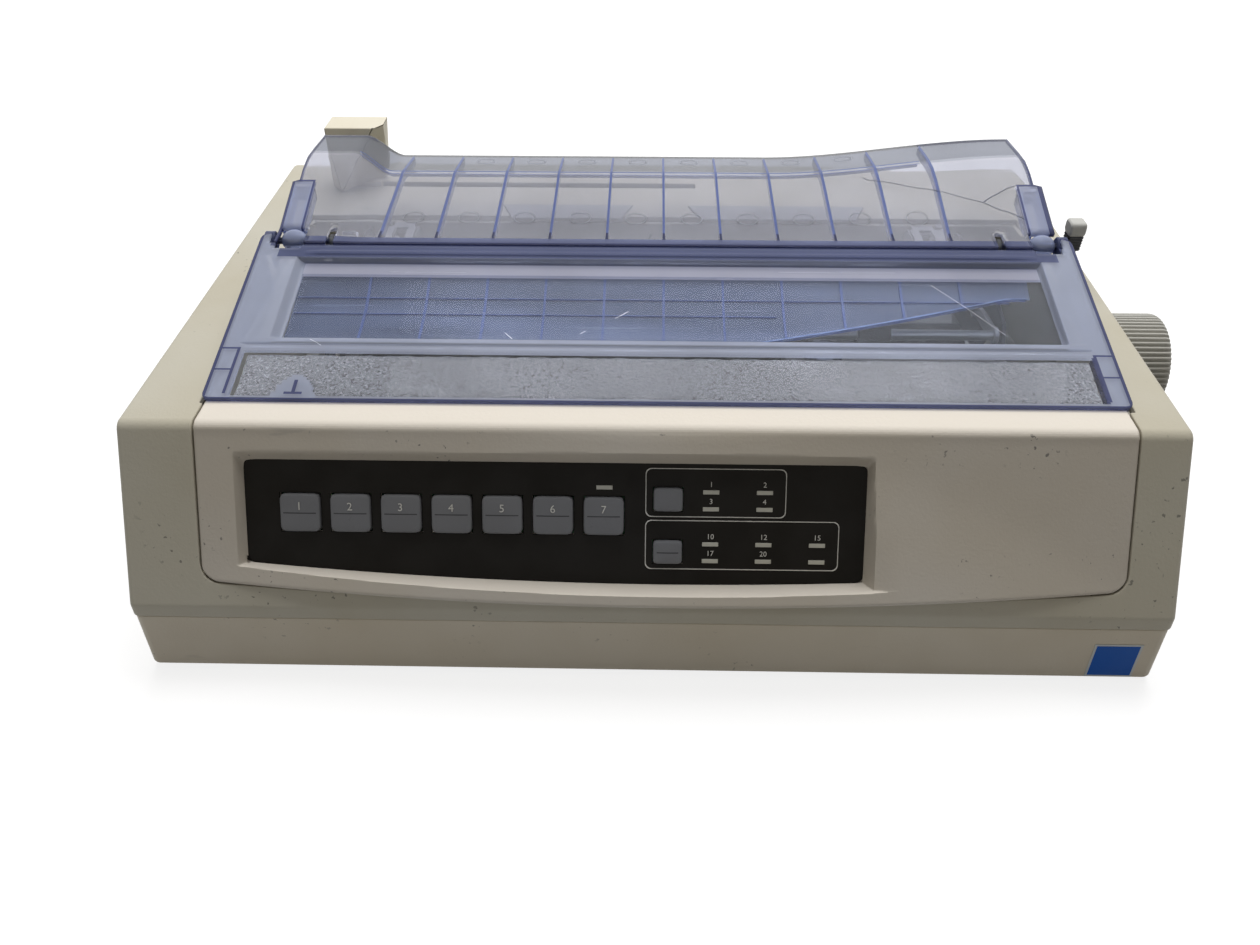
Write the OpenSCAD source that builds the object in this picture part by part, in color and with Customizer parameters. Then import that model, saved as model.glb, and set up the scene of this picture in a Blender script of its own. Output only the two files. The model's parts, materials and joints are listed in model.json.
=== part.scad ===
// Desktop dot matrix printer with a hinged access cover and a hinged paper separator.
// Drawn in millimetres. X runs along the platen, Y from the front to the rear, Z up.
// Inside the file X is 0 at the middle of the case, Y is 0 at the front of the lower
// case and Z is 0 at its bottom edge. place() moves that to the middle of the footprint.

/* [Case] */
// Width over both cheeks
case_w = 398; // [390:2:420]
// Depth of the lower case
case_d = 345; // [341:1:360]
// Height of the seam between the lower and the upper case
seam_h = 26.5; // [25:0.5:29]
// Height of the upright band of the upper case above the seam
band_h = 5.9; // [4:0.1:7]
// Height of the cheek tops above the bottom edge
case_h = 95.1; // [95:0.1:97]
// Lean of the front face back from upright, in degrees
face_lean = 27.5; // [26:0.5:28]
// Thickness of both casings
wall = 2.5; // [2:0.1:3]
// Radius of the edge between the front face and the top
edge_r = 5; // [3:0.5:6]
// Radius of the upright corners of the lower case
corner_r = 4; // [2:0.5:5]
// Gap left open at the seam
seam_gap = 0.4; // [0.2:0.1:0.8]
// Width of the left cheek
left_cheek = 27.4; // [26:0.2:28]
// Width of the right cheek
right_cheek = 17.4; // [17:0.2:18]
// Length of the rear slope, seen from above
rear_run = 65; // [60:1:68]
// Height of the rear wall
rear_h = 60; // [58:1:64]
// Place of the front edge of the rear deck
deck_y = 214; // [213:0.5:218]

/* [Feet and screws] */
// Height of the rubber feet
foot_h = 3; // [2:0.5:5]
// Radius of the rubber feet
foot_r = 9; // [7:0.5:11]
// Distance of the feet and screws from the outer faces
foot_inset = 24; // [22:1:26]
// Radius of the case screws
screw_r = 1.7; // [1.5:0.1:2]

/* [Fascia and control panel] */
// Width of the fascia
fascia_w = 349; // [340:1:350]
// Length of the fascia down the front face at its ends
fascia_drop = 60.6; // [60:0.1:62]
// Extra length of the fascia in the middle
fascia_sag = 6.5; // [4:0.1:7]
// How far the middle of its lower edge stands proud
fascia_bow = 7; // [4:0.5:9]
// Thickness of the fascia
fascia_t = 3; // [2.5:0.1:3.2]
// Gap around the fascia
fascia_gap = 0.4; // [0.3:0.1:0.6]
// Left end of the recess for the control panel from the left end of the fascia
recess_x = 14.7; // [12:0.1:16]
// Width of the recess
recess_w = 238.5; // [236:0.5:244]
// Distance from the top edge to the recess
recess_top = 10.2; // [9:0.2:11]
// Depth of the recess
recess_depth = 4.3; // [3.5:0.1:5]
// Lowest place of the recess's floor below the top edge
recess_low = 60.9; // [58:0.1:61]
// Width of the sloping ends of the recess
end_bevel = 2; // [1:0.1:4]
// Width of the sloping top of the recess
top_bevel = 3.8; // [2:0.1:4]
// Width of the sloping bottom of the recess
low_bevel = 0.7; // [0.4:0.1:1.2]
// Thickness of the control panel overlay
overlay_t = 1.2; // [0.8:0.1:1.5]

/* [Keys] */
// Number of large keys
key_count = 7; // [5:1:7]
// Distance between the large keys
key_pitch = 19.15; // [18:0.05:19.4]
// Width of a large key
key_w = 15.2; // [13:0.1:15.6]
// Height of a large key
key_h = 14.6; // [13:0.1:15]
// Middle of the first large key from the left end of the recess
key_start = 23.1; // [22:0.1:25]
// Middle of the large keys below the top edge
key_drop = 34.3; // [33:0.1:35]
// Width of a small key
small_key_w = 11; // [9:0.1:12]
// Height of a small key
small_key_h = 9; // [8:0.1:9.4]
// Middle of the small keys from the left end of the recess
small_key_x = 162.2; // [161:0.1:163]
// Middle of the upper small key below the top edge
small_key_drop = 27.7; // [27.2:0.1:28.2]
// Distance between the two small keys
small_key_gap = 20.3; // [20:0.1:20.6]
// How far a key stands proud of the overlay
key_proud = 1.8; // [1.5:0.1:2.5]
// Travel of a key
key_travel = 1; // [0.5:0.1:1.2]
// Gap around a key
key_gap = 0.4; // [0.3:0.05:0.6]
// Length of an indicator window
light_w = 6.1; // [5:0.1:6.5]
// Height of an indicator window
light_h = 1.6; // [1.2:0.1:2]

/* [Access cover] */
// Slope of the cover in degrees
cover_slope = 12.8; // [12.6:0.1:13]
// Thickness of the cover
cover_t = 2; // [1.8:0.1:2.1]
// Distance from the front of the lower case to the cover
cover_y = 46.5; // [46:0.1:47]
// How far the cover's front edge stands over the cheek tops
cover_lift = 1.4; // [1.3:0.1:1.8]
// Gap between the cover and the cheeks
cover_gap = 0.6; // [0.4:0.1:0.9]
// Left edge of the cover's window from its left side
window_x = 18; // [16:1:20]
// Width of the window
window_w = 318; // [310:1:320]
// Distance up the slope to the window
window_s = 33.5; // [32:0.5:35]
// Length of the window up the slope
window_l = 50.5; // [48:0.5:51]
// Depth of the window's recess
window_depth = 3; // [2:0.5:3.5]
// Thickness of the foam under the cover
foam_t = 6; // [4:0.5:7]

/* [Separator and hinge] */
// Distance of the separator's sides from the sides of the cover
separator_x = 6; // [5.8:0.1:6.4]
// Thickness of the separator
separator_t = 2; // [1.6:0.1:2.2]
// Height of the ridge over the hinge line
ridge_rise = 5.7; // [4:0.1:7]
// Height of the raised rear corners over the hinge line
corner_rise = 15.7; // [12:0.1:17]
// Number of ribs under the separator
rib_count = 11; // [7:1:11]
// Distance between the ribs
rib_pitch = 25; // [24:0.1:25.4]
// Radius of the hinge knuckles
knuckle_r = 5.2; // [4.6:0.1:5.4]
// Radius of the hinge pins
hinge_pin_r = 1.5; // [1.2:0.1:1.8]
// Gap between the cover and the separator
hinge_gap = 1.4; // [1:0.1:2]

/* [Platen and drive] */
// Distance from the front of the lower case to the platen's axis
platen_y = 124; // [123.5:0.5:124.5]
// Height of the platen's axis
platen_z = 69; // [68:0.5:69.5]
// Radius of the platen
platen_r = 16; // [15:0.5:16.5]
// Gap between the ends of the platen and the chassis sides
platen_gap = 14; // [12:0.5:20]
// Radius of the platen's shaft
platen_shaft_r = 5; // [4:0.5:5.5]
// Radius of the platen knob
knob_r = 21.5; // [19:0.5:23]
// Length of the platen knob
knob_l = 23; // [18:1:28]
// Number of grooves round the knob
knob_grooves = 60; // [36:4:72]
// Gear module, the pitch diameter for each tooth
gear_m = 1.5; // [1.5:0.05:1.55]
// Width of the gears
gear_w = 5; // [4:0.5:5.5]
// Running clearance round every shaft
run_gap = 0.05; // [0.03:0.01:0.08]

/* [Carriage] */
// Rest place of the carriage from the right side of the chassis
carriage_x = 50; // [47:1:85]
// Width of the carriage
carriage_w = 56; // [50:1:60]
// Distance from the front of the lower case to the carriage shaft
rail_y = 86; // [85:0.5:87]
// Height of the carriage shaft
rail_z = 44; // [43:0.5:45]
// Radius of the carriage shaft
rail_r = 6; // [5:0.5:6.5]
// Width of the timing belt
belt_w = 6; // [5:0.5:7]
// Radius of the belt pulleys
pulley_r = 7; // [6:0.5:7.5]

/* [Paper handling] */
// Distance from the front of the lower case to the tractor's drive shaft
tractor_y = 184; // [183:0.5:185]
// Height of the tractor's drive shaft
tractor_z = 82; // [81.5:0.5:82]
// Radius of the tractor's sprocket up to the paper
sprocket_r = 12.1; // [11.6:0.1:12.2]
// Side of the square drive shaft
square_a = 7; // [6:0.5:7.5]
// Radius of the tractor's fixed rod
rod_r = 3; // [2.5:0.1:3.5]
// Distance of each tractor from its side of the chassis
tractor_x = 18; // [17:0.5:21]
// Radius of the rollers on the paper bail
bail_roller_r = 5; // [4:0.5:5]
// Height of the sheet guide over the deck
guide_h = 33; // [30:1:36]

/* [Hidden] */

$fn = 48;
eps = 0.01;

// Case profile
band_z = seam_h + band_h;
top_y = (case_h - band_z) * tan(face_lean);
deck_end = case_d - rear_run;
rear_angle = atan((case_h - rear_h) / rear_run);
arc_shift = edge_r * tan((90 - face_lean) / 2);
well_l = -case_w / 2 + left_cheek;
well_r = case_w / 2 - right_cheek;
well_mid = (well_l + well_r) / 2;

// Fascia
fascia_l = well_mid - fascia_w / 2 - 0.4;
fascia_mid = fascia_l + fascia_w / 2;
fascia_back = cover_y + 1;
fascia_low = fascia_drop + fascia_sag;
sag_r = (pow(fascia_w / 2, 2) + pow(fascia_sag, 2)) / (2 * fascia_sag);
bow_half = fascia_w / 2 + 8;
bow_r = (pow(bow_half, 2) + pow(fascia_bow, 2)) / (2 * fascia_bow);
bow_start = 0.4;
bow_tilt = atan((fascia_bow + bow_start) / fascia_low);
front_out = fascia_low * sin(face_lean) + fascia_bow * cos(face_lean) - top_y;
recess_l = fascia_l + recess_x;
recess_arc = 1800;
// Small step that keeps neighbouring cuts from sharing a surface
ledge = 0.05;
board_y0 = -recess_low + 7;
pocket_wall = 2;
screw_shift = 24;
post_r = 5;
label_w = 18.5;
label_x = 172;
overlay_top = -recess_depth;
floor_n = overlay_top - overlay_t;
key_len = 6;
board_n = floor_n - key_len - key_travel;

// Access cover
cover_l = well_l + cover_gap;
cover_r = well_r - cover_gap;
cover_z = case_h + cover_lift;
hinge_y = cover_y + 99.2;
hinge_z = cover_z + (hinge_y - cover_y) * tan(cover_slope) - 5;
overhang = 7;
cover_len = (hinge_y - overhang - hinge_gap - cover_y) / cos(cover_slope);
corner_len = (hinge_y - 1.3 - cover_y) / cos(cover_slope);
ear_w = 5.4;
skirt_z = case_h - 3;
guide_slot_y = deck_y + 36;
knuckle_w = 10;
knuckle_gap = 0.6;

// Separator
sep_l = cover_l + separator_x;
sep_r = cover_r - separator_x;
sep_y = hinge_y - overhang;
sep_front_z = hinge_z + 3;
sep_step = 41;
sep_ridge = 67.5;
sep_depth = 98.3;
sep_step_in = 3;
sep_wall_h = 10;
sep_mid = (sep_l + sep_r) / 2;
left_knuckle = sep_l + 7;
right_knuckle = sep_r - 5;

// Mechanism
frame_t = 2;
frame_half = (well_r - well_l) / 2 - 31.6;
frame_l = well_mid - frame_half;
frame_r = well_mid + frame_half;
bracket_x = [frame_l - frame_t, frame_r];
frame_z = 6;
frame_y = 50;
frame_end = 245;
gear_gap = 2;
gear_l = frame_l - frame_t - gear_gap - gear_w;
platen_teeth = 26;
idler_teeth = 18;
pinion_teeth = 12;
tractor_teeth = 20;
link_teeth = 20;
motor_y = platen_y + 41;
motor_z = platen_z - 34;
motor_r = 21;
knob_x = case_w / 2 + 1;
knob_out = knob_x + knob_l - case_w / 2;

// Carriage
car_x = frame_r - carriage_x;
belt_y = rail_y - 24;
belt_z = rail_z + 8;
belt_t = 1;
pulley_l = frame_l + 20;
pulley_rt = frame_r - 15;

// Bail
bail_y = platen_y - (platen_r + bail_roller_r + 0.4) * cos(60);
bail_z = platen_z + (platen_r + bail_roller_r + 0.4) * sin(60);
bail_pivot_y = platen_y + 22;
bail_pivot_z = platen_z + 15;
bail_pin_r = 2;
bail_rod_r = 2.5;

// Paper lever
lever_x = well_r + 5.6;
lever_y = platen_y + 34;
lever_z = platen_z - 7;
lever_pin_r = 3;

// Tractors
tractor_w = 14;
tractor_front = tractor_y - 22;
tractor_back = tractor_y + 24;
tractor_top = tractor_z + sprocket_r;
rod_y = tractor_y + 19;
rod_z = tractor_z - 6;
journal_r = square_a / 2;
flap_z = tractor_top + 1.9;

// Rear panel
inlet_x = 120;
switch_x = 160;
port_x = -110;
port_z = seam_h + 16;
rocker_y = case_d - 4.5;

// Moves the drawing frame so that the origin is the middle of the footprint.
module place() {
    translate([-knob_out / 2, -(case_d - front_out) / 2, foot_h]) children();
}

// Draws in the plane of the front face: x right, y up the face, z outwards.
module on_face() {
    translate([0, top_y, case_h]) rotate([90 - face_lean, 0, 0]) children();
}

// Draws in the plane of the cover: x right, y up its slope, z outwards.
module on_cover() {
    translate([0, cover_y, cover_z]) rotate([cover_slope, 0, 0]) children();
}

// Extrudes a shape drawn in Y and Z along X, from x0 to x1.
module along_x(x0, x1) {
    translate([x0, 0, 0]) rotate([90, 0, 90]) linear_extrude(x1 - x0) children();
}

// A rod along X.
module rod(x0, x1, y, z, r) {
    translate([x0, y, z]) rotate([0, 90, 0]) cylinder(r = r, h = x1 - x0);
}

// A block given by its two opposite corners.
module block(a, b) {
    translate(a) cube(b - a);
}

// An upright block with round corners.
module round_block(w, d, h, r) {
    block([r, 0, 0], [w - r, d, h]);
    block([0, r, 0], [w, d - r, h]);
    for (x = [r, w - r], y = [r, d - r]) translate([x, y, 0]) cylinder(r = r, h = h);
}

// Points on an arc in the Y Z plane.
function arc(cy, cz, r, a0, a1, n) =
    [for (i = [0:n]) let (a = a0 + (a1 - a0) * i / n) [cy + r * cos(a), cz + r * sin(a)]];

// The outer profile of the upper case.
function case_outline() = concat(
    [[0, seam_h + seam_gap], [0, band_z]],
    arc(top_y + arc_shift, case_h - edge_r, edge_r, 180 - face_lean, 90, 5),
    [[deck_end, case_h], [case_d, rear_h], [case_d, seam_h + seam_gap]]);

// The same profile, moved inwards by d on every side.
function case_inline(d) = [
    [d, seam_h - 1],
    [d, band_z - d * (1 - cos(face_lean)) / sin(face_lean)],
    [(d + (case_h - d - band_z) * sin(face_lean)) / cos(face_lean), case_h - d],
    [deck_end - d * (1 - cos(rear_angle)) / sin(rear_angle), case_h - d],
    [case_d - d, rear_h - d * (1 - sin(rear_angle)) / cos(rear_angle)],
    [case_d - d, seam_h - 1]];

// A gear in its own plane. The straight teeth leave a little backlash.
module gear_2d(teeth, phase) {
    r = gear_m * teeth / 2;
    root = r - 1.25 * gear_m;
    tip = r + 0.8 * gear_m;
    step = 360 / teeth;
    polygon([for (i = [0:teeth - 1], k = [[root, -0.33], [tip, -0.13], [tip, 0.13], [root, 0.33]])
        let (a = phase + step * (i + k[1])) [k[0] * cos(a), k[0] * sin(a)]]);
}

// The turn that brings the teeth of the next gear into mesh.
function mesh_phase(dir, phase, teeth, next) =
    dir + 180 - 180 / next + (dir - phase) * teeth / next;

// The centre that lies r0 from p and r1 from q, on the side given by s.
function link_point(p, q, r0, r1, s) = let (
    d = norm(q - p), u = (q - p) / d,
    a = (r0 * r0 - r1 * r1 + d * d) / (2 * d), h = sqrt(r0 * r0 - a * a))
    p + a * u + s * h * [-u[1], u[0]];

function direction(p, q) = atan2(q[1] - p[1], q[0] - p[0]);

platen_c = [platen_y, platen_z];
pinion_c = [motor_y, motor_z];
tractor_c = [tractor_y, tractor_z];
mesh_slack = 0.15;
function reach(a, b) = gear_m * (a + b) / 2 + mesh_slack;
idler_c = link_point(platen_c, pinion_c, reach(platen_teeth, idler_teeth),
    reach(idler_teeth, pinion_teeth), -1);
link_c = link_point(platen_c, tractor_c, reach(platen_teeth, link_teeth),
    reach(link_teeth, tractor_teeth), 1);
idler_phase = mesh_phase(direction(platen_c, idler_c), 0, platen_teeth, idler_teeth);
pinion_phase = mesh_phase(direction(idler_c, pinion_c), idler_phase, idler_teeth, pinion_teeth);
link_phase = mesh_phase(direction(platen_c, link_c), 0, platen_teeth, link_teeth);
tractor_phase = mesh_phase(direction(link_c, tractor_c), link_phase, link_teeth, tractor_teeth);

// A gear in the train outside the left frame, with its bore.
module train_gear(c, teeth, phase, bore) {
    translate([gear_l, c[0], c[1]]) rotate([90, 0, 90]) difference() {
        linear_extrude(gear_w) gear_2d(teeth, phase);
        translate([0, 0, -1]) cylinder(r = bore, h = gear_w + 2);
    }
}

// ---- Casings ----

// Places of the feet and screws.
module at_corners(inset_y) {
    for (x = [-case_w / 2 + foot_inset, case_w / 2 - foot_inset])
        for (y = [foot_inset + inset_y, case_d - foot_inset - inset_y])
            translate([x, y, 0]) children();
}

module lower_case() color([0.80, 0.77, 0.69]) place() difference() {
    union() {
        difference() {
            translate([-case_w / 2, 0, 0]) round_block(case_w, case_d, seam_h, corner_r);
            translate([-case_w / 2 + wall, wall, wall])
                round_block(case_w - 2 * wall, case_d - 2 * wall, seam_h, corner_r - wall / 2);
        }
        at_corners(screw_shift) cylinder(r = post_r, h = seam_h);
        // Ledges that carry the chassis.
        for (x = [frame_l - 8, frame_r - 8])
            block([x, frame_y + 10, wall - eps], [x + 16, frame_end - 10, frame_z]);
    }
    at_corners(screw_shift) {
        translate([0, 0, -1]) cylinder(r = screw_r + 0.3, h = seam_h + 2);
        translate([0, 0, -1]) cylinder(r = 2 * screw_r + 0.4, h = 4);
    }
    // Air slots in the bottom.
    for (i = [0:11]) {
        x = -66 + 12 * i;
        block([x, case_d - 83, -1], [x + 4, case_d - 33, wall + 1]);
    }
}

// The outline of the fascia in the plane of the front face, grown by g.
module fascia_plan(g) {
    intersection() {
        translate([fascia_l - g, -fascia_low - 9]) square([fascia_w + 2 * g, fascia_low + 69]);
        translate([fascia_mid, sag_r - fascia_low - g]) circle(r = sag_r, $fn = 360);
    }
}

module upper_case() color([0.82, 0.79, 0.71]) place() difference() {
    union() {
        difference() {
            along_x(-case_w / 2, case_w / 2) polygon(case_outline());
            along_x(-case_w / 2 + wall, case_w / 2 - wall) polygon(case_inline(wall));
            // The well for the mechanism, under the cover and the separator.
            block([well_l, cover_y - 0.5, 0], [well_r, deck_y, case_h + 1]);
        }
        // Inner walls of both cheeks.
        for (x = [well_l - wall, well_r])
            intersection() {
                along_x(x, x + wall) polygon(case_outline());
                block([x - 1, 0, 48], [x + wall + 1, deck_y + wall, case_h + 1]);
            }
        // Front wall of the rear deck.
        block([well_l - wall, deck_y, 66], [well_r + wall, deck_y + wall, case_h - wall + eps]);
        // Ledges behind the ends of the fascia.
        intersection() {
            on_face() for (x = [fascia_l - 5, fascia_l + fascia_w - 5])
                block([x, -fascia_drop - 2, -6], [x + 10, -4, -1]);
            along_x(-case_w / 2, case_w / 2) polygon(case_outline());
        }
        // Posts that take the case screws.
        at_corners(screw_shift) translate([0, 0, seam_h]) cylinder(r = post_r, h = 14);
        for (side = [-1, 1], y = [foot_inset + screw_shift, case_d - foot_inset - screw_shift])
            translate([side * (case_w / 2 - foot_inset / 2 - 0.5), y, seam_h + 12])
                cube([foot_inset - 1, 4, 4], center = true);
        // Ears that carry the rocker of the switch.
        for (x = [switch_x - 12.7, switch_x + 10.2])
            block([x, case_d - 8, port_z - 4], [x + 2.5, case_d - wall + eps, port_z + 4]);
        // The post for the paper lever.
        rod(well_r, lever_x - 2.4, lever_y, lever_z, lever_pin_r + 3);
        rod(well_r, lever_x + 2.4, lever_y, lever_z, lever_pin_r);
    }
    // Room for the fascia.
    on_face() translate([0, 0, -fascia_t - 0.2]) linear_extrude(40) fascia_plan(fascia_gap);
    on_face() translate([0, 0, -20]) linear_extrude(60) intersection() {
        fascia_plan(fascia_gap);
        translate([fascia_l + 6, -fascia_low - 10]) square([fascia_w - 12, 90]);
    }
    block([fascia_l - fascia_gap, 4, case_h - fascia_t - 0.4],
        [fascia_l + fascia_w + fascia_gap, fascia_back + 0.4, case_h + 1]);
    // Screw holes.
    at_corners(screw_shift) translate([0, 0, seam_h - 1]) cylinder(r = screw_r, h = 13);
    // The platen's shaft goes through the right cheek.
    rod(well_r - 1, case_w / 2 + 1, platen_y, platen_z, platen_shaft_r + 3);
    // Slot for the paper lever.
    block([lever_x - 2.6, lever_y - 13, case_h - wall - 1],
        [lever_x + 2.6, lever_y + 15, case_h + 1]);
    // Slot for the foot of the sheet guide.
    block([well_l + 14, guide_slot_y, case_h - wall - 1],
        [well_l + 194, guide_slot_y + 6, case_h + 1]);
    // Air slots in the rear slope.
    for (i = [0:15]) {
        x = -100 + 13 * i;
        block([x, deck_end + 14, rear_h - 20], [x + 5, case_d - 14, case_h + 1]);
    }
    rod(switch_x - 13, switch_x + 13, rocker_y, port_z, 1 + run_gap);
    // Openings for the sockets and the switch.
    block([inlet_x - 14, case_d - 5, port_z - 10], [inlet_x + 14, case_d + 1, port_z + 10]);
    block([switch_x - 10.2, case_d - 9, port_z - 7.2], [switch_x + 10.2, case_d + 1, port_z + 7.2]);
    block([port_x - 29, case_d - 5, port_z - 8], [port_x + 29, case_d + 1, port_z + 8]);
}

// ---- Fascia and control panel ----

// A space with sloping sides: a by b at its mouth, narrower by the bevel at its floor.
module tapered_recess(x0, y0, x1, y1, slope_w, depth) {
    intersection() {
        translate([0, y1 + 1, 0]) rotate([90, 0, 0]) linear_extrude(y1 - y0 + 2)
            polygon([[x0 + slope_w, -depth], [x1 - slope_w, -depth],
                [x1 + slope_w, depth], [x0 - slope_w, depth]]);
        along_x(x0 - 9, x1 + 9)
            polygon([[y0 + slope_w, -depth], [y1 - slope_w, -depth],
                [y1 + slope_w, depth], [y0 - slope_w, depth]]);
    }
}

// The recess's outline in the plane of the front face, with its ends, its top and its bowed
// bottom drawn in by end, top and low.
module recess_plan(end, top, low) {
    intersection() {
        translate([recess_l + end, -fascia_low - 9])
            square([recess_w - 2 * end, fascia_low + 9 - recess_top - top]);
        translate([fascia_mid, recess_arc - recess_low - low_bevel + low]) circle(r = recess_arc, $fn = 720);
    }
}

// The barrel-shaped front of the bowed fascia, sunk by d.
module bow_barrel(d) {
    rotate([-bow_tilt, 0, 0]) translate([fascia_mid, 0, -bow_r - bow_start - d])
        rotate([-90, 0, 0]) translate([0, 0, -2 * fascia_low])
            cylinder(r = bow_r, h = 3 * fascia_low, $fn = 720);
}

module key_holes(gap) {
    for (i = [0:key_count - 1])
        key_plan(recess_l + key_start + i * key_pitch, -key_drop, key_w, key_h, gap);
    for (j = [0, 1])
        key_plan(recess_l + small_key_x, -small_key_drop - j * small_key_gap,
            small_key_w, small_key_h, gap);
}

module key_plan(x, y, w, h, gap) {
    translate([x - w / 2 - gap, y - h / 2 - gap]) square([w + 2 * gap, h + 2 * gap]);
}

module front_fascia() color([0.83, 0.80, 0.72]) place() difference() {
    union() {
        intersection() {
            along_x(fascia_l - 1, fascia_l + fascia_w + 1) difference() {
                polygon(case_outline());
                polygon(case_inline(fascia_t));
                translate([fascia_back, 0]) square([case_d, 2 * case_h]);
            }
            on_face() translate([0, 0, -60]) linear_extrude(90) fascia_plan(0);
        }
        on_face() difference() {
            intersection() {
                translate([0, 0, -fascia_t - 0.2]) linear_extrude(fascia_t + fascia_bow + 2)
                    intersection() {
                        fascia_plan(0);
                        translate([fascia_l - 1, -fascia_low - 9]) square([fascia_w + 2, fascia_low + 9]);
                    }
                bow_barrel(0);
            }
            intersection() {
                translate([fascia_l + 4, -fascia_low + fascia_t, -fascia_t - 1])
                    cube([fascia_w - 8, fascia_low - 6, fascia_bow + 4]);
                bow_barrel(fascia_t);
            }
        }
        // Pocket behind the recess.
        on_face() translate([0, 0, floor_n - pocket_wall]) linear_extrude(pocket_wall - floor_n - 1)
            recess_plan(-pocket_wall, -pocket_wall, -pocket_wall);
    }
    on_face() {
        hull() {
            translate([0, 0, overlay_top]) linear_extrude(eps)
                recess_plan(end_bevel - ledge, top_bevel - ledge, low_bevel - ledge);
            linear_extrude(0.4) recess_plan(0, 0, 0);
        }
        translate([0, 0, 0.2]) linear_extrude(20) recess_plan(-ledge, -ledge, -ledge);
        translate([0, 0, floor_n]) linear_extrude(overlay_t + 0.2)
            recess_plan(end_bevel, top_bevel, low_bevel);
        translate([0, 0, -20]) linear_extrude(30) key_holes(key_gap);
    }
}

// Rows of indicator windows: offset from the recess's left end and drop below the top edge.
light_places = [
    [138.2, 23.4],
    [178.3, 24.8], [198.4, 24.8], [178.3, 31.3], [198.4, 31.3],
    [178.3, 44.9], [198.4, 44.9], [218.6, 44.9], [178.3, 51.4], [198.4, 51.4], [218.6, 51.4]];

module light_plan() {
    for (p = light_places)
        translate([recess_l + p[0] - light_w / 2, -p[1] - light_h / 2]) square([light_w, light_h]);
}

module panel_overlay() color([0.10, 0.10, 0.11]) place() on_face()
    translate([0, 0, floor_n]) linear_extrude(overlay_t) difference() {
        recess_plan(end_bevel, top_bevel, low_bevel);
        key_holes(key_gap);
        light_plan();
    }

module indicator_lights() color([0.75, 0.76, 0.74]) place() on_face()
    translate([0, 0, floor_n]) linear_extrude(overlay_t + 0.2) light_plan();

// A key cap with its stem. w by h is the size of the cap.
module key(x, y, w, h) color([0.45, 0.46, 0.49]) place() on_face() {
    translate([x - w / 2, y - h / 2, floor_n - 1.5])
        round_block(w, h, overlay_t + key_proud + 1.5, 1.5);
    translate([x, y, floor_n - key_len]) cylinder(r = 2.5, h = key_len);
}

module large_key(i) {
    key(recess_l + key_start + i * key_pitch, -key_drop, key_w, key_h);
}

module small_key(j) {
    key(recess_l + small_key_x, -small_key_drop - j * small_key_gap, small_key_w, small_key_h);
}

module key_1() large_key(0);
module key_2() large_key(1);
module key_3() large_key(2);
module key_4() large_key(3);
module key_5() large_key(4);
module key_6() large_key(5);
module key_7() large_key(6);
module key_8() small_key(0);
module key_9() small_key(1);

module panel_board() color([0.16, 0.38, 0.24]) place() on_face() {
    translate([0, 0, board_n - 0.5]) difference() {
        block([recess_l + 4, board_y0, -1.6], [recess_l + recess_w - 4, -recess_top, 0]);
        for (x = [recess_l + 8, recess_l + recess_w - 8])
            translate([x, board_y0 + 4, -3]) cylinder(r = 1.6, h = 6);
    }
    // Posts that hang the board from the fascia.
    for (x = [recess_l + 7, recess_l + recess_w - 7], y = [-recess_top - 5])
        translate([x, y, board_n - 0.5]) cylinder(r = 2.5, h = floor_n - pocket_wall - board_n + 0.5);
}

module info_label() color([0.10, 0.36, 0.70]) place()
    translate([label_x, -0.2, 0.6]) block([0, 0, 0], [label_w, 0.2, 18]);

// ---- Feet and screws ----

module rubber_feet() color([0.12, 0.12, 0.12]) place()
    at_corners(0) translate([0, 0, -foot_h]) cylinder(r = foot_r, h = foot_h);

module case_screws() color([0.62, 0.63, 0.65]) place() at_corners(screw_shift) {
    translate([0, 0, 0.6]) cylinder(r = 2 * screw_r, h = 2.4);
    translate([0, 0, 2.9]) cylinder(r = screw_r, h = seam_h + 8 - 2.9);
}

// ---- Access cover ----

module access_cover() color([0.52, 0.58, 0.80]) place() difference() {
    union() {
        on_cover() {
            block([cover_l, 0, -cover_t], [cover_r, cover_len, 0]);
            for (x = [cover_l, cover_r - ear_w])
                block([x, cover_len - 1, -cover_t], [x + ear_w, corner_len, 0]);
            block([cover_l + window_x - 2, window_s - 2, -window_depth - cover_t],
                [cover_l + window_x + window_w + 2, window_s + window_l + 2, 0]);
            // Strengthening ribs at the front corners.
            for (x = [cover_l + 7.2, cover_r - 8.8]) block([x, 3, -5], [x + 1.6, 28, -1]);
            for (x = [cover_l + 1, cover_r - 8], s = [15.5, 27])
                block([x, s, -5], [x + 7, s + 1.2, -1]);
            // The lift tab.
            block([cover_l + 31, 3, -cover_t - 4], [cover_l + 38, 10.5, -1]);
        }
        // Skirts on both sides.
        for (x = [cover_l, cover_r - cover_t]) intersection() {
            block([x, cover_y, skirt_z], [x + cover_t, hinge_y - 2, hinge_z + 20]);
            on_cover() block([x - 1, 0, -90], [x + cover_t + 1, corner_len, -0.5]);
        }
        // Hinge ears.
        for (x = [cover_l + 0.4, cover_r - ear_w]) {
            rod(x, x + 5, hinge_y, hinge_z, knuckle_r - 1);
            block([x, hinge_y - 9, hinge_z - 3], [x + 5, hinge_y, hinge_z + 1]);
        }
    }
    on_cover() {
        tapered_recess(cover_l + window_x, window_s, cover_l + window_x + window_w,
            window_s + window_l, 2, window_depth);
        block([cover_l + 8, 30, -0.7], [cover_r - 8, 30.8, 1]);
        // A clean front edge over the fascia.
        block([cover_l - 1, -5, -20], [cover_r + 1, 0, 5]);
    }
    block([cover_l - 1, cover_y - 1, skirt_z - 5], [cover_r + 1, fascia_back + 1.5, case_h + 0.4]);
    rod(cover_l - 1, cover_r + 1, hinge_y, hinge_z, hinge_pin_r + run_gap);
}

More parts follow.
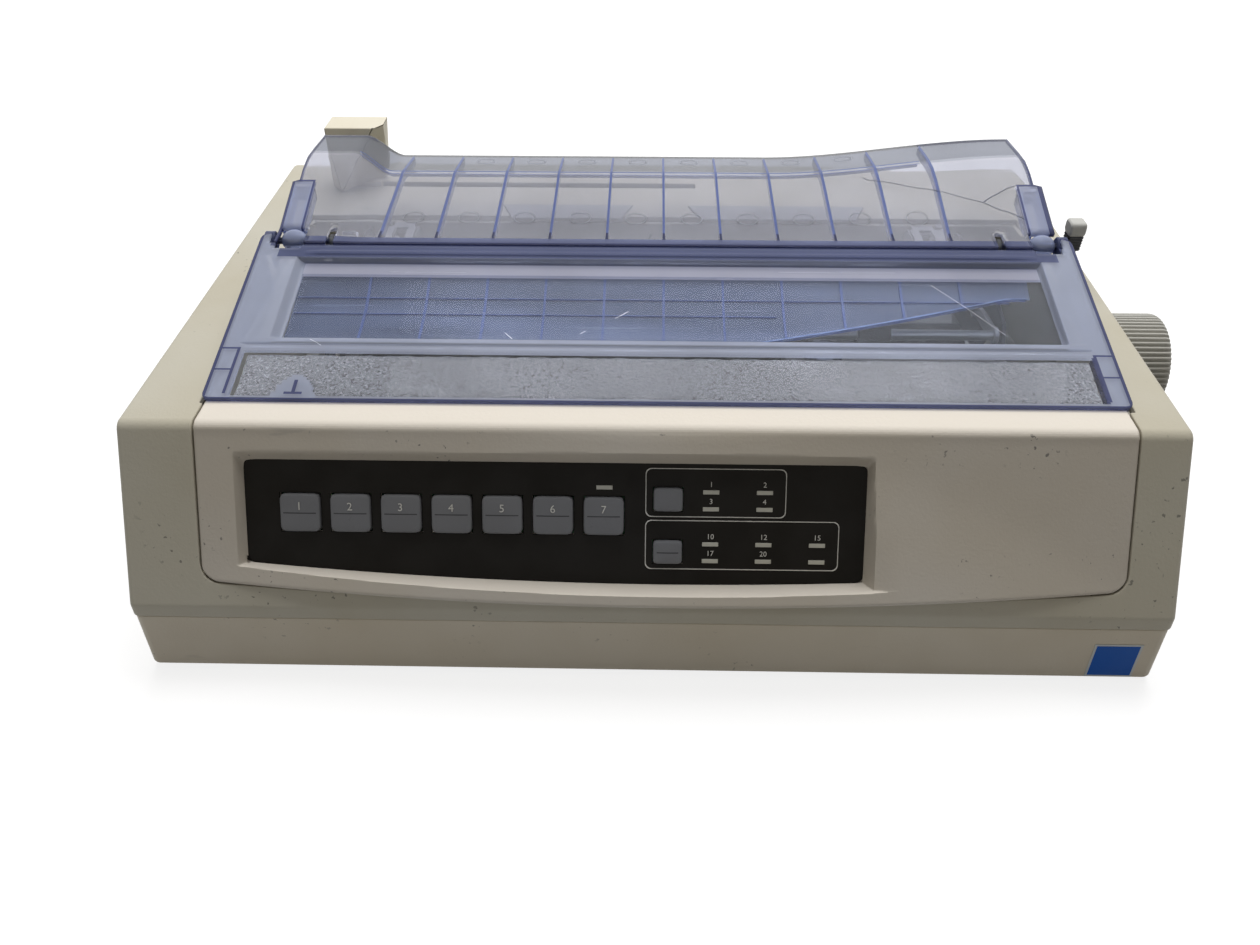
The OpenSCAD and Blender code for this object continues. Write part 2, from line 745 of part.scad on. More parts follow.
module cover_foam() color([0.50, 0.51, 0.52]) place() on_cover() difference() {
    block([cover_l + 11, 3, -cover_t - foam_t], [cover_r - 9.5, 26.5, -cover_t]);
    block([cover_l + 27, 0, -20], [cover_l + 42, 14, 1]);
}

// ---- Separator ----

// Height of the separator's top at distance d behind its front edge.
// w is 0 in the middle and 1 at the raised sides.
function sep_rise(d, w) =
    (1 - w) * lookup(d, [[0, 0], [overhang + 3, 0.2], [sep_ridge - 2.5, ridge_rise],
        [sep_depth - 2.5, ridge_rise - 4]])
    + w * lookup(d, [[0, 0.2], [overhang + 3, 1.2], [sep_step - 2, corner_rise - 4.6],
        [sep_ridge - 10, corner_rise], [sep_depth - 2.5, corner_rise - 1.4]]);

function smooth(t) = let (c = min(1, max(0, t))) c * c * (3 - 2 * c);

// 0 in the middle, rising to 1 at the left and right sides.
function side_weight(x) = smooth((x - sep_mid - 50) / 117) + smooth((sep_l + 40 - x) / 16);

// Half of the stations across the separator, with the sides drawn in behind the step.
sep_x = concat([sep_l, sep_l + 24, sep_l + 28, sep_l + 32, sep_l + 36, sep_l + 40],
    [for (i = [0:8]) sep_mid + 50 + i * (sep_r - sep_mid - 50) / 8]);
sep_d = [0, overhang + 3, sep_step - 2, sep_step - 0.5, sep_ridge - 10, sep_ridge - 2.5, sep_depth - 2.5];

function drawn_in(x, d) = let (e = d > sep_step - 1 ? sep_step_in : 0)
    max(sep_l + e, min(sep_r - e, x));
function rear_cut(x, d) = d - (d > sep_ridge ? 7 * side_weight(x) : 0);

function sep_point(x, d, drop) = [drawn_in(x, d), sep_y + rear_cut(x, d),
    sep_front_z + sep_rise(d, side_weight(x)) - drop];

nx = len(sep_x);
nd = len(sep_d);
sep_points = [for (drop = [0, separator_t], d = sep_d, x = sep_x) sep_point(x, d, drop)];
function sep_i(level, j, i) = level * nx * nd + j * nx + i;
sep_faces = concat(
    [for (j = [0:nd - 2], i = [0:nx - 2]) each [
        [sep_i(0, j, i), sep_i(0, j + 1, i), sep_i(0, j, i + 1)],
        [sep_i(0, j, i + 1), sep_i(0, j + 1, i), sep_i(0, j + 1, i + 1)],
        [sep_i(1, j, i), sep_i(1, j, i + 1), sep_i(1, j + 1, i)],
        [sep_i(1, j, i + 1), sep_i(1, j + 1, i + 1), sep_i(1, j + 1, i)]]],
    [for (i = [0:nx - 2]) each [
        [sep_i(0, 0, i), sep_i(0, 0, i + 1), sep_i(1, 0, i)],
        [sep_i(0, 0, i + 1), sep_i(1, 0, i + 1), sep_i(1, 0, i)],
        [sep_i(0, nd - 1, i), sep_i(1, nd - 1, i), sep_i(0, nd - 1, i + 1)],
        [sep_i(0, nd - 1, i + 1), sep_i(1, nd - 1, i), sep_i(1, nd - 1, i + 1)]]],
    [for (j = [0:nd - 2]) each [
        [sep_i(0, j, 0), sep_i(1, j, 0), sep_i(0, j + 1, 0)],
        [sep_i(0, j + 1, 0), sep_i(1, j, 0), sep_i(1, j + 1, 0)],
        [sep_i(0, j, nx - 1), sep_i(0, j + 1, nx - 1), sep_i(1, j, nx - 1)],
        [sep_i(0, j + 1, nx - 1), sep_i(1, j + 1, nx - 1), sep_i(1, j, nx - 1)]]]);

// A rib under the separator that follows its surface at x.
module sep_rib(x, t) {
    w = side_weight(x);
    top = [for (d = [5, overhang + 3, sep_ridge - 2.5, sep_depth - 4 - 7 * w]) [sep_y + d, sep_front_z + sep_rise(d, w) - 1]];
    low = [for (i = [3:-1:0]) [top[i][0], top[i][1] - 4]];
    along_x(x - t / 2, x + t / 2) polygon(concat(top, low));
}

// A wall under one of the separator's arms.
module arm_wall(x, t) {
    top = [for (d = [overhang + 6, sep_step - 2]) [sep_y + d, sep_front_z + sep_rise(d, 1) - 1]];
    along_x(x, x + t) polygon([top[0], top[1], [top[1][0], top[1][1] - sep_wall_h],
        [top[0][0], top[0][1] - sep_wall_h + 3]]);
}

// A round knuckle on the hinge line, with its bore.
module sep_knuckle(x) {
    bore = hinge_pin_r + run_gap;
    translate([x, hinge_y, hinge_z]) rotate([0, 90, 0]) rotate_extrude() intersection() {
        circle(r = knuckle_r);
        translate([bore, -knuckle_r]) square([knuckle_r, 2 * knuckle_r]);
    }
}

module separator() color([0.55, 0.61, 0.82]) place() {
    difference() {
        union() {
            polyhedron(sep_points, sep_faces);
            for (i = [0:rib_count - 1])
                sep_rib(sep_mid + (i - (rib_count - 1) / 2) * rib_pitch, 1.6);
            for (x = [sep_l + 0.2, sep_l + 8, sep_r - 10, sep_r - 2.2]) arm_wall(x, 2);
        }
        // Slots for the chassis brackets.
        for (x = bracket_x)
            block([x - 0.8, sep_y - 1, hinge_z - 9], [x + frame_t + 0.8, hinge_y + 3.6, hinge_z + 9]);
    }
    for (x = [left_knuckle, right_knuckle]) sep_knuckle(x);
}

module hinge_pins() color([0.70, 0.71, 0.73]) place() {
    rod(cover_l + 0.5, bracket_x[0] + frame_t, hinge_y, hinge_z, hinge_pin_r);
    rod(bracket_x[1], cover_r - 0.5, hinge_y, hinge_z, hinge_pin_r);
}

module sheet_guide() color([0.84, 0.82, 0.73]) place() {
    foot_y = guide_slot_y + 0.5;
    difference() {
        guide_shell(0);
        guide_shell(2);
    }
    // Foot that runs in the deck's slot, with a lip under the deck.
    block([well_l + 16, foot_y, case_h - wall - 0.8], [well_l + 28, foot_y + 5, case_h + 2.5]);
    block([well_l + 16, foot_y - 2, case_h - wall - 2.4], [well_l + 28, foot_y + 7, case_h - wall - 0.4]);
}

// The hollow prow of the sheet guide, shrunk by d.
module guide_shell(d) {
    z0 = case_h + 0.4 + (d > 0 ? 2 : 0);
    z1 = case_h + guide_h - d;
    x0 = well_l + 3;
    y0 = guide_slot_y - 8.5;
    y1 = guide_slot_y + 13 - d;
    hull() {
        translate([0, 0, z0]) linear_extrude(0.1) polygon([
            [x0 + 6 + d / 2, y0 + d], [x0 + d, y0 + 7.5], [x0 + d, y1], [x0 + 27 - d, y1]]);
        translate([0, 0, z1 - 0.1]) linear_extrude(0.1) polygon([
            [x0 + 1 + d, y0 + 4.5 + d], [x0 + 26 - d, y0 + 4.5 + d], [x0 + 30 - d, y0 + 10.5],
            [x0 + 30 - d, y1], [x0 + 1 + d, y1]]);
    }
}

// Plates that carry the sheet between the tractors.
module sheet_supports() color([0.62, 0.62, 0.63]) place()
    for (span = [[-76, -10], [18, 107]])
        translate([0, 0, case_h]) linear_extrude(1) polygon([
            [span[0], deck_y + 12], [span[0] + 6, deck_y - 4],
            [span[1] - 6, deck_y - 4], [span[1], deck_y + 12]]);

// ---- Chassis ----

// One side of the chassis, drawn in Y and Z.
module frame_side() {
    difference() {
        union() {
            polygon([[frame_y, frame_z], [frame_end, frame_z], [frame_end, 56], [214, 64], [208, 90],
                [hinge_y + 10, 96], [hinge_y + 2.2, 106], [hinge_y + 2.2, hinge_z],
                [hinge_y - 2.2, hinge_z], [hinge_y - 2.2, 98], [platen_y - 8, 92], [106, 74], [66, 74],
                [frame_y, 60]]);
            translate([hinge_y, hinge_z]) circle(r = 3);
        }
        translate(platen_c) circle(r = platen_shaft_r + 3);
        translate([rail_y, rail_z]) circle(r = rail_r);
        translate(tractor_c) circle(r = journal_r + 2.5);
        translate([rod_y, rod_z]) circle(r = rod_r);
        translate([bail_pivot_y, bail_pivot_z]) circle(r = bail_pin_r + run_gap);
        translate([hinge_y, hinge_z]) circle(r = hinge_pin_r);
    }
}

module chassis() color([0.66, 0.67, 0.68]) place() difference() {
    union() {
        block([frame_l - frame_t, frame_y, frame_z], [frame_r + frame_t, frame_end, frame_z + frame_t]);
        along_x(frame_l - frame_t, frame_l) frame_side();
        along_x(frame_r, frame_r + frame_t) frame_side();
        // The web under the carriage.
        block([frame_l - eps, rail_y + 12, frame_z], [frame_r + eps, rail_y + 14, rail_z - 10.4]);
        // Studs for the two idler gears.
        for (c = [idler_c, link_c]) rod(gear_l - 1, frame_l - frame_t + eps, c[0], c[1], 3);
        // Shelf for the idler pulley.
        block([pulley_rt - 12, belt_y - 10, frame_z], [pulley_rt + 12, belt_y - 8, belt_z - 4]);
        block([pulley_rt - 12, belt_y - 10, belt_z - 6], [pulley_rt + 12, belt_y + 9, belt_z - 4]);
        translate([pulley_rt, belt_y, belt_z - 4 - eps]) cylinder(r = 2, h = belt_w + 5);
    }
    // The feed motor's shaft goes through the left side.
    rod(frame_l - frame_t - 1, frame_l + 1, motor_y, motor_z, 9);
}

module shaft_bushings() color([0.85, 0.83, 0.76]) place() {
    for (x = bracket_x) {
        difference() {
            rod(x, x + frame_t, platen_y, platen_z, platen_shaft_r + 3);
            rod(x - 1, x + frame_t + 1, platen_y, platen_z, platen_shaft_r + run_gap);
        }
        difference() {
            rod(x, x + frame_t, tractor_y, tractor_z, journal_r + 2.5);
            rod(x - 1, x + frame_t + 1, tractor_y, tractor_z, journal_r + run_gap);
        }
    }
}

module carriage_shaft() color([0.78, 0.79, 0.81]) place()
    rod(frame_l - frame_t, frame_r + frame_t, rail_y, rail_z, rail_r);

module tractor_rod() color([0.78, 0.79, 0.81]) place()
    rod(frame_l - frame_t, frame_r + frame_t, rod_y, rod_z, rod_r);

module feed_motor() color([0.30, 0.31, 0.33]) place() {
    rod(frame_l + 2, frame_l + 32, motor_y, motor_z, motor_r);
    rod(frame_l, frame_l + 2.1, motor_y, motor_z, 9.5);
    rod(gear_l - 1, frame_l + 1, motor_y, motor_z, 2.5);
}

module spacing_motor() color([0.30, 0.31, 0.33]) place() translate([pulley_l, belt_y, 0]) {
    translate([0, 0, frame_z + frame_t]) cylinder(r = 16, h = 24);
    translate([0, 0, frame_z + frame_t + 23]) cylinder(r = 2.5, h = belt_z + belt_w - frame_z - frame_t - 22);
}

module paper_chute() color([0.74, 0.74, 0.74]) place() {
    x0 = frame_l + 12;
    x1 = frame_r - 12;
    r0 = platen_r + 1.4;
    along_x(x0, x1) difference() {
        translate(platen_c) circle(r = r0 + 1.6, $fn = 96);
        translate(platen_c) circle(r = r0, $fn = 96);
        translate([platen_y - 30, platen_z - 6]) square([60, 40]);
        translate([platen_y - 30, platen_z - 40]) square([22, 80]);
    }
    // The plate that leads from the tractors down to the platen.
    along_x(x0, x1) polygon([[platen_y + r0 - 0.2, platen_z - 6], [platen_y + r0 + 1.2, platen_z - 6],
        [platen_y + r0 + 3, platen_z + 2], [platen_y + 34, platen_z + 16],
        [platen_y + 33, platen_z + 17.4], [platen_y + r0 + 1.4, platen_z + 3.4]]);
    // The floor under the tractors.
    block([frame_l, platen_y + 15, 58], [frame_r, deck_y, 60]);
}

// ---- Platen ----

module platen_roller() color([0.13, 0.13, 0.14]) place() difference() {
    rod(frame_l + platen_gap, frame_r - platen_gap, platen_y, platen_z, platen_r);
    rod(frame_l, frame_r, platen_y, platen_z, platen_shaft_r);
}

module platen_shaft() color([0.78, 0.79, 0.81]) place()
    rod(gear_l - 1, knob_x + knob_l - 4, platen_y, platen_z, platen_shaft_r);

// The grooved outline of the knob.
module knob_outline() {
    step = 360 / knob_grooves;
    polygon([for (i = [0:knob_grooves - 1], k = [[0, -0.3], [0, 0.12], [-0.9, 0.25], [-0.9, 0.57]])
        let (r = knob_r + k[0], a = step * (i + k[1])) [r * cos(a), r * sin(a)]]);
}

module platen_knob() color([0.66, 0.66, 0.64]) place() translate([knob_x, platen_y, platen_z])
    rotate([90, 0, 90]) difference() {
        union() {
            translate([0, 0, 1.5]) linear_extrude(knob_l - 4) knob_outline();
            cylinder(r = knob_r - 1, h = knob_l - 1);
            translate([0, 0, knob_l - 1 - eps]) cylinder(r1 = knob_r - 1.2, r2 = knob_r - 3, h = 1);
        }
        translate([0, 0, -1]) cylinder(r = platen_shaft_r, h = knob_l - 3);
        translate([0, 0, -1]) difference() {
            cylinder(r = knob_r - 4, h = knob_l - 8);
            cylinder(r = platen_shaft_r + 2.5, h = knob_l);
        }
    }

module platen_gear() color([0.88, 0.86, 0.80]) place()
    train_gear(platen_c, platen_teeth, 0, platen_shaft_r);

module feed_idler_gear() color([0.88, 0.86, 0.80]) place()
    train_gear(idler_c, idler_teeth, idler_phase, 3 + run_gap);

module motor_pinion() color([0.80, 0.66, 0.35]) place()
    train_gear(pinion_c, pinion_teeth, pinion_phase, 2.5 + run_gap);

module tractor_idler_gear() color([0.88, 0.86, 0.80]) place()
    train_gear(link_c, link_teeth, link_phase, 3 + run_gap);

module tractor_shaft() color([0.78, 0.79, 0.81]) place() {
    rod(gear_l, frame_l + 1, tractor_y, tractor_z, journal_r);
    rod(frame_r - 1, frame_r + frame_t + 2, tractor_y, tractor_z, journal_r);
    translate([frame_l + 0.8, tractor_y, tractor_z]) rotate([45, 0, 0])
        block([0, -square_a / 2, -square_a / 2], [2 * frame_half - 1.6, square_a / 2, square_a / 2]);
    train_gear(tractor_c, tractor_teeth, tractor_phase, 1);
}

// ---- Carriage ----

module carriage() color([0.24, 0.24, 0.26]) place() translate([car_x, 0, 0]) difference() {
    union() {
        block([-carriage_w / 2, rail_y - 13, rail_z - 10], [carriage_w / 2, rail_y + 15, rail_z + 12]);
        block([-14, rail_y - 10, rail_z + 12 - eps], [14, rail_y + 5.5, rail_z + 20]);
        // Clamp that holds the belt.
        block([-6, belt_y + pulley_r - 2, belt_z - 3], [6, rail_y - 12, belt_z + belt_w + 2]);
    }
    rod(-carriage_w, carriage_w, rail_y, rail_z, rail_r + run_gap);
    block([-10, belt_y + pulley_r - 0.4, belt_z - 0.4],
        [10, belt_y + pulley_r + belt_t + 0.4, belt_z + belt_w + 0.4]);
}

module printhead() color([0.20, 0.20, 0.21]) place() translate([car_x, 0, 0]) {
    z0 = rail_z + 20;
    block([-13, rail_y - 9, z0], [13, rail_y + 6, z0 + 14]);
    for (i = [0:4]) block([-17, rail_y - 8 + 3 * i, z0 + 1], [17, rail_y - 6.8 + 3 * i, z0 + 13]);
    block([-7, rail_y + 5.9, platen_z - 7], [7, platen_y - platen_r - 4, platen_z + 6]);
    block([-3, rail_y + 17, platen_z - 3], [3, platen_y - platen_r - 1, platen_z + 4]);
}

module ribbon_cartridge() color([0.16, 0.16, 0.18]) place() translate([car_x, 0, 0]) {
    z0 = rail_z + 36;
    block([-45, rail_y - 8, z0], [45, rail_y + 14, z0 + 11]);
    // Arms that carry the ribbon past the head.
    for (x = [-28, 20]) {
        block([x, rail_y + 4, rail_z + 12], [x + 8, rail_y + 14, z0 + eps]);
        block([x + 2, rail_y + 13.9, z0 - 17], [x + 6, platen_y - platen_r - 2, z0 - 6]);
    }
}

module ribbon_knob() color([0.18, 0.32, 0.66]) place() {
    translate([car_x - 30, rail_y + 3, rail_z + 47.4]) {
        difference() {
            cylinder(r = 8, h = 3);
            for (i = [0:11]) rotate([0, 0, 30 * i]) translate([8.4, 0, -1]) cylinder(r = 1.1, h = 6, $fn = 24);
        }
        translate([0, 0, 2.9]) block([-5, -1.2, 0], [5, 1.2, 1.4]);
    }
}

// A loop round both pulleys.
module belt_loop(r) {
    for (x = [pulley_l, pulley_rt]) translate([x, belt_y]) circle(r = r);
    translate([pulley_l, belt_y - r]) square([pulley_rt - pulley_l, 2 * r]);
}

module timing_belt() color([0.10, 0.10, 0.10]) place()
    translate([0, 0, belt_z]) linear_extrude(belt_w) difference() {
        belt_loop(pulley_r + belt_t);
        belt_loop(pulley_r + 0.05);
    }

module pulley(bore) {
    difference() {
        union() {
            translate([0, 0, -0.8]) cylinder(r = pulley_r, h = belt_w + 1.6);
            translate([0, 0, -1.8]) cylinder(r = pulley_r + 2.4, h = 1.4);
        }
        translate([0, 0, -5]) cylinder(r = bore, h = belt_w + 10);
        for (i = [0:19]) rotate([0, 0, 18 * i]) translate([pulley_r + 0.3, 0, -0.3])
            cylinder(r = 0.7, h = belt_w + 3, $fn = 24);
    }
}

module motor_pulley() color([0.80, 0.66, 0.35]) place()
    translate([pulley_l, belt_y, belt_z]) pulley(2.5 + run_gap);

module idler_pulley() color([0.80, 0.66, 0.35]) place()
    translate([pulley_rt, belt_y, belt_z]) pulley(2 + run_gap);

// ---- Paper bail, lever and tractors ----

module paper_bail() color([0.72, 0.73, 0.74]) place() {
    inner_l = frame_l + 2;
    inner_r = frame_r - 4;
    rod(inner_l, inner_r + 2, bail_y, bail_z, bail_rod_r);
    for (x = [inner_l, inner_r]) along_x(x, x + 2) {
        translate([bail_y, bail_z]) circle(r = 4);
        translate([bail_pivot_y, bail_pivot_z]) circle(r = 5);
        polygon([[bail_y, bail_z - 3], [bail_pivot_y, bail_pivot_z - 3],
            [bail_pivot_y, bail_pivot_z + 3], [bail_y, bail_z + 3]]);
    }
    rod(frame_l - frame_t, inner_l + eps, bail_pivot_y, bail_pivot_z, bail_pin_r);
    rod(inner_r + 2 - eps, frame_r + frame_t, bail_pivot_y, bail_pivot_z, bail_pin_r);
}

module bail_rollers() color([0.14, 0.14, 0.15]) place()
    for (i = [0:3]) {
        x = well_mid - 90 + 60 * i;
        difference() {
            rod(x - 7, x + 7, bail_y, bail_z, bail_roller_r);
            rod(x - 8, x + 8, bail_y, bail_z, bail_rod_r + run_gap);
        }
    }

module paper_lever() color([0.68, 0.68, 0.66]) place() {
    difference() {
        union() {
            rod(lever_x - 2, lever_x + 2, lever_y, lever_z, lever_pin_r + 3);
            block([lever_x - 2, lever_y - 4, lever_z], [lever_x + 2, lever_y + 4, case_h + 18]);
        }
        rod(lever_x - 3, lever_x + 3, lever_y, lever_z, lever_pin_r + run_gap);
    }
    // The finger grip.
    along_x(lever_x - 4, lever_x + 4) {
        translate([lever_y - 1, case_h + 22]) circle(r = 6);
        polygon([[lever_y - 7, case_h + 22], [lever_y - 4, case_h + 14],
            [lever_y + 4, case_h + 14], [lever_y + 5, case_h + 22]]);
    }
}

// The side plates and the middle of one tractor.
module tractor(x, outer) color([0.80, 0.80, 0.79]) place() {
    half = tractor_w / 2;
    difference() {
        union() {
            along_x(x - half, x + half) polygon([[tractor_front, tractor_top - 6],
                [tractor_front + 4, tractor_top], [tractor_back - 4, tractor_top],
                [tractor_back, tractor_top - 6], [tractor_back, tractor_z - 9],
                [tractor_back - 8, tractor_z - 13], [tractor_front + 8, tractor_z - 13],
                [tractor_front, tractor_z - 9]]);
            // Posts that hold the flap's hinge.
            for (y = [tractor_y - 18, tractor_y + 14])
                block([min(x + outer * (half - 1), x + outer * (half + 4)), y, tractor_top - 8],
                    [max(x + outer * (half - 1), x + outer * (half + 4)), y + 4, flap_z + 2]);
        }
        rod(x - 3, x + 3, tractor_y, tractor_z, sprocket_r + 4.2);
        rod(x - 20, x + 20, tractor_y, tractor_z, 7.5 + 0.3);
        rod(x - 20, x + 20, rod_y, rod_z, rod_r + run_gap);
        translate([x + outer * (half + 2), tractor_y - 30, flap_z])
            rotate([-90, 0, 0]) cylinder(r = 1.2 + run_gap, h = 60);
    }
}

// A sprocket that slides on the square shaft.
module sprocket(x) color([0.82, 0.82, 0.80]) place() difference() {
    union() {
        rod(x - 2.5, x + 2.5, tractor_y, tractor_z, sprocket_r - 0.5);
        rod(x - tractor_w / 2, x + tractor_w / 2, tractor_y, tractor_z, 7.5);
        for (i = [0:5]) translate([x, tractor_y, tractor_z]) rotate([60 * i, 0, 0])
            translate([0, 0, sprocket_r - 2]) cylinder(r1 = 1.9, r2 = 1.1, h = 5);
    }
    translate([x - 20, tractor_y, tractor_z]) rotate([45, 0, 0])
        block([0, -square_a / 2 - 0.3, -square_a / 2 - 0.3], [40, square_a / 2 + 0.3, square_a / 2 + 0.3]);
}

// The flap that keeps the paper on the pins.
module tractor_flap(x, outer) color([0.80, 0.80, 0.79]) place() {
    axis_x = x + outer * (tractor_w / 2 + 2);
    far_x = x - outer * tractor_w / 2;
    difference() {
        union() {
            block([min(axis_x, far_x), tractor_y - 13.4, flap_z - 0.7], [max(axis_x, far_x), tractor_y + 13.4, flap_z + 1]);
            block([min(x - outer * 5.6, x + outer * 4.6), tractor_y - 19, flap_z - 0.7],
                [max(x - outer * 5.6, x + outer * 4.6), tractor_y + 18, flap_z + 1]);
        }
        block([x - 3, tractor_y - 12, flap_z - 4], [x + 3, tractor_y + 12, flap_z + 4]);
    }
    translate([axis_x, tractor_y - 13.4, flap_z]) rotate([-90, 0, 0]) cylinder(r = 1.6, h = 26.8);
    translate([axis_x, tractor_y - 17.6, flap_z]) rotate([-90, 0, 0]) cylinder(r = 1.2, h = 35.2);
}

module tractor_left() tractor(frame_l + tractor_x, -1);
module tractor_right() tractor(frame_r - tractor_x, 1);
module sprocket_left() sprocket(frame_l + tractor_x);
module sprocket_right() sprocket(frame_r - tractor_x);
module tractor_flap_left() tractor_flap(frame_l + tractor_x, -1);
module tractor_flap_right() tractor_flap(frame_r - tractor_x, 1);

// ---- Electrical parts ----

module main_board() color([0.14, 0.36, 0.22]) place() {
    z0 = frame_z + frame_t + 3;
    y0 = rail_y + 20;
    x1 = frame_r - 7;
    block([frame_l + 45, y0, z0], [x1, y0 + 70, z0 + 1.6]);
    for (x = [-80, -30, 20, 70]) block([well_mid + x, y0 + 14, z0 + 1.5], [well_mid + x + 34, y0 + 30, z0 + 5.5]);
    for (x = [frame_l + 55, x1 - 12]) translate([x, y0 + 60, z0 + 1.5]) cylinder(r = 6, h = 18);
    for (x = [frame_l + 49, x1 - 4], y = [y0 + 4, y0 + 66])
        translate([x, y, frame_z + frame_t]) cylinder(r = 2.5, h = 3.1);
}

module transformer() color([0.42, 0.40, 0.38]) place() {
    z0 = frame_z + frame_t;
    x0 = frame_r - 105;
    block([x0, tractor_y, z0], [x0 + 70, frame_end - 7, z0 + 44]);
    block([x0 + 8, tractor_y - 6, z0 + 8], [x0 + 62, tractor_y + 0.1, z0 + 36]);
}

module power_inlet() color([0.10, 0.10, 0.11]) place() {
    difference() {
        union() {
            block([inlet_x - 14, case_d - 22, port_z - 10], [inlet_x + 14, case_d - 0.2, port_z + 10]);
            block([inlet_x - 17, case_d - wall - 2, port_z - 12], [inlet_x + 17, case_d - wall, port_z + 12]);
        }
        block([inlet_x - 12, case_d - 18, port_z - 8], [inlet_x + 12, case_d + 1, port_z + 8]);
    }
    for (p = [[-7, -2], [0, 2], [7, -2]])
        block([inlet_x + p[0] - 1, case_d - 18.1, port_z + p[1] - 2.5],
            [inlet_x + p[0] + 1, case_d - 5, port_z + p[1] + 2.5]);
}

module data_port() color([0.70, 0.70, 0.68]) place() {
    difference() {
        union() {
            block([port_x - 29, case_d - 14, port_z - 8], [port_x + 29, case_d - 0.2, port_z + 8]);
            block([port_x - 34, case_d - wall - 2, port_z - 8], [port_x + 34, case_d - wall, port_z + 8]);
        }
        block([port_x - 25, case_d - 9, port_z - 5], [port_x + 25, case_d + 1, port_z + 5]);
    }
    block([port_x - 22, case_d - 9.1, port_z - 2], [port_x + 22, case_d - 2, port_z + 2]);
}

// Rocker of the mains switch, pressed in at its lower half, with its two trunnions.
module power_rocker() color([0.10, 0.10, 0.11]) place() {
    translate([0, case_d, port_z]) rotate([8, 0, 0])
        block([switch_x - 9.6, -6, -6], [switch_x + 9.6, -0.9, 6]);
    rod(switch_x - 12.5, switch_x + 12.5, rocker_y, port_z, 1);
}

lower_case();
upper_case();
front_fascia();
panel_overlay();
indicator_lights();
info_label();
chassis();
shaft_bushings();
carriage_shaft();
spacing_motor();
feed_motor();
paper_chute();
tractor_rod();
hinge_pins();
sheet_supports();
main_board();
panel_board();
transformer();
power_inlet();
data_port();
rubber_feet();
case_screws();
timing_belt();
access_cover();
cover_foam();
separator();
sheet_guide();
platen_roller();
platen_shaft();
platen_knob();
platen_gear();
feed_idler_gear();
motor_pinion();
motor_pulley();
idler_pulley();
carriage();
printhead();
ribbon_cartridge();
ribbon_knob();
paper_bail();
bail_rollers();
paper_lever();
power_rocker();
tractor_shaft();
tractor_idler_gear();
tractor_left();
tractor_right();
sprocket_left();
sprocket_right();
tractor_flap_left();
tractor_flap_right();
key_1();
key_2();
key_3();
key_4();
key_5();
key_6();
key_7();
key_8();
key_9();
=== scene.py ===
"""Visual model of a desktop dot matrix printer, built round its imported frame.

Shapes are worked out in millimetres in the case's own axes: X is 0 in the middle of the
case, Y is 0 at the front of its lower half and Z is 0 at its bottom edge. place() turns
them into metres in the frame's axes.
"""
import json
import math

import bmesh
import bpy
import numpy as np
from bpy.props import FloatProperty, FloatVectorProperty, IntProperty, PointerProperty
from mathutils import Matrix, Vector

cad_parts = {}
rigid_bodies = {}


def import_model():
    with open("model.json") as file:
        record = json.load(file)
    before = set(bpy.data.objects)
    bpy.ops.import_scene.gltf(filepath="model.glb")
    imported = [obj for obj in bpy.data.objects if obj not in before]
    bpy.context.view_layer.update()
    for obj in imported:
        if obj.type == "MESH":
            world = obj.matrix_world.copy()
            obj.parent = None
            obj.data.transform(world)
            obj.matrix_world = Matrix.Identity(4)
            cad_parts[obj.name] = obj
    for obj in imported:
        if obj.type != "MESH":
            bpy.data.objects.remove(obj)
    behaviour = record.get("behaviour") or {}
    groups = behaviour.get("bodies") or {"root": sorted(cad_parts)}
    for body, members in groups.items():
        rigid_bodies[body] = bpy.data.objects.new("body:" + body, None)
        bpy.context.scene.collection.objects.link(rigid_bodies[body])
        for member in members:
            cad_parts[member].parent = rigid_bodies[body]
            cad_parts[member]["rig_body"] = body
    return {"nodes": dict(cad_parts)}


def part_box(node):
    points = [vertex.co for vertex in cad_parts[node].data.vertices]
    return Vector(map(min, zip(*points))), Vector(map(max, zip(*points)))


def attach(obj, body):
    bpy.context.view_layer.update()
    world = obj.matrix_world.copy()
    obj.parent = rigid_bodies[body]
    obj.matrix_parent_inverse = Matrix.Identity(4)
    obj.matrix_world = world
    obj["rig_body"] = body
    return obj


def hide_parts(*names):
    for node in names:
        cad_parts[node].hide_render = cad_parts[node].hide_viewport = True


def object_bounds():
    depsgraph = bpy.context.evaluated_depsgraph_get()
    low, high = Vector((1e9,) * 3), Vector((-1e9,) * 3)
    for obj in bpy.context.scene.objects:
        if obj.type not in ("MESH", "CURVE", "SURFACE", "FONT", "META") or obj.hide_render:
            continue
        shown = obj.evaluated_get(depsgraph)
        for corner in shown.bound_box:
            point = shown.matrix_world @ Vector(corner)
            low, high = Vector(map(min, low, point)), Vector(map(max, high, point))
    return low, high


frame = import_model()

bl_info = {
    "name": "Dot Matrix Printer",
    "version": (1, 0, 0),
    "blender": (4, 5, 0),
    "location": "3D View > Sidebar > Printer",
    "description": "Builds the shells, clear covers, keys and finishes of a dot matrix printer",
    "category": "Object",
}

CAD_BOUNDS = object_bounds()
MM = 0.001


# ---- Places taken from the frame ----

CASE_LOW, CASE_HIGH = (np.array(corner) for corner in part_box("lower_case"))
ORIGIN = np.array([(CASE_LOW[0] + CASE_HIGH[0]) / 2, CASE_LOW[1], CASE_LOW[2]])


def place(points):
    """Case millimetres to frame metres: the origin plus a thousandth of each number."""
    return ORIGIN + MM * np.asarray(points, float)


def node_box(node):
    """Lowest and highest corner of a CAD node in case millimetres."""
    return [(np.array(corner) - ORIGIN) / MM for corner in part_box(node)]


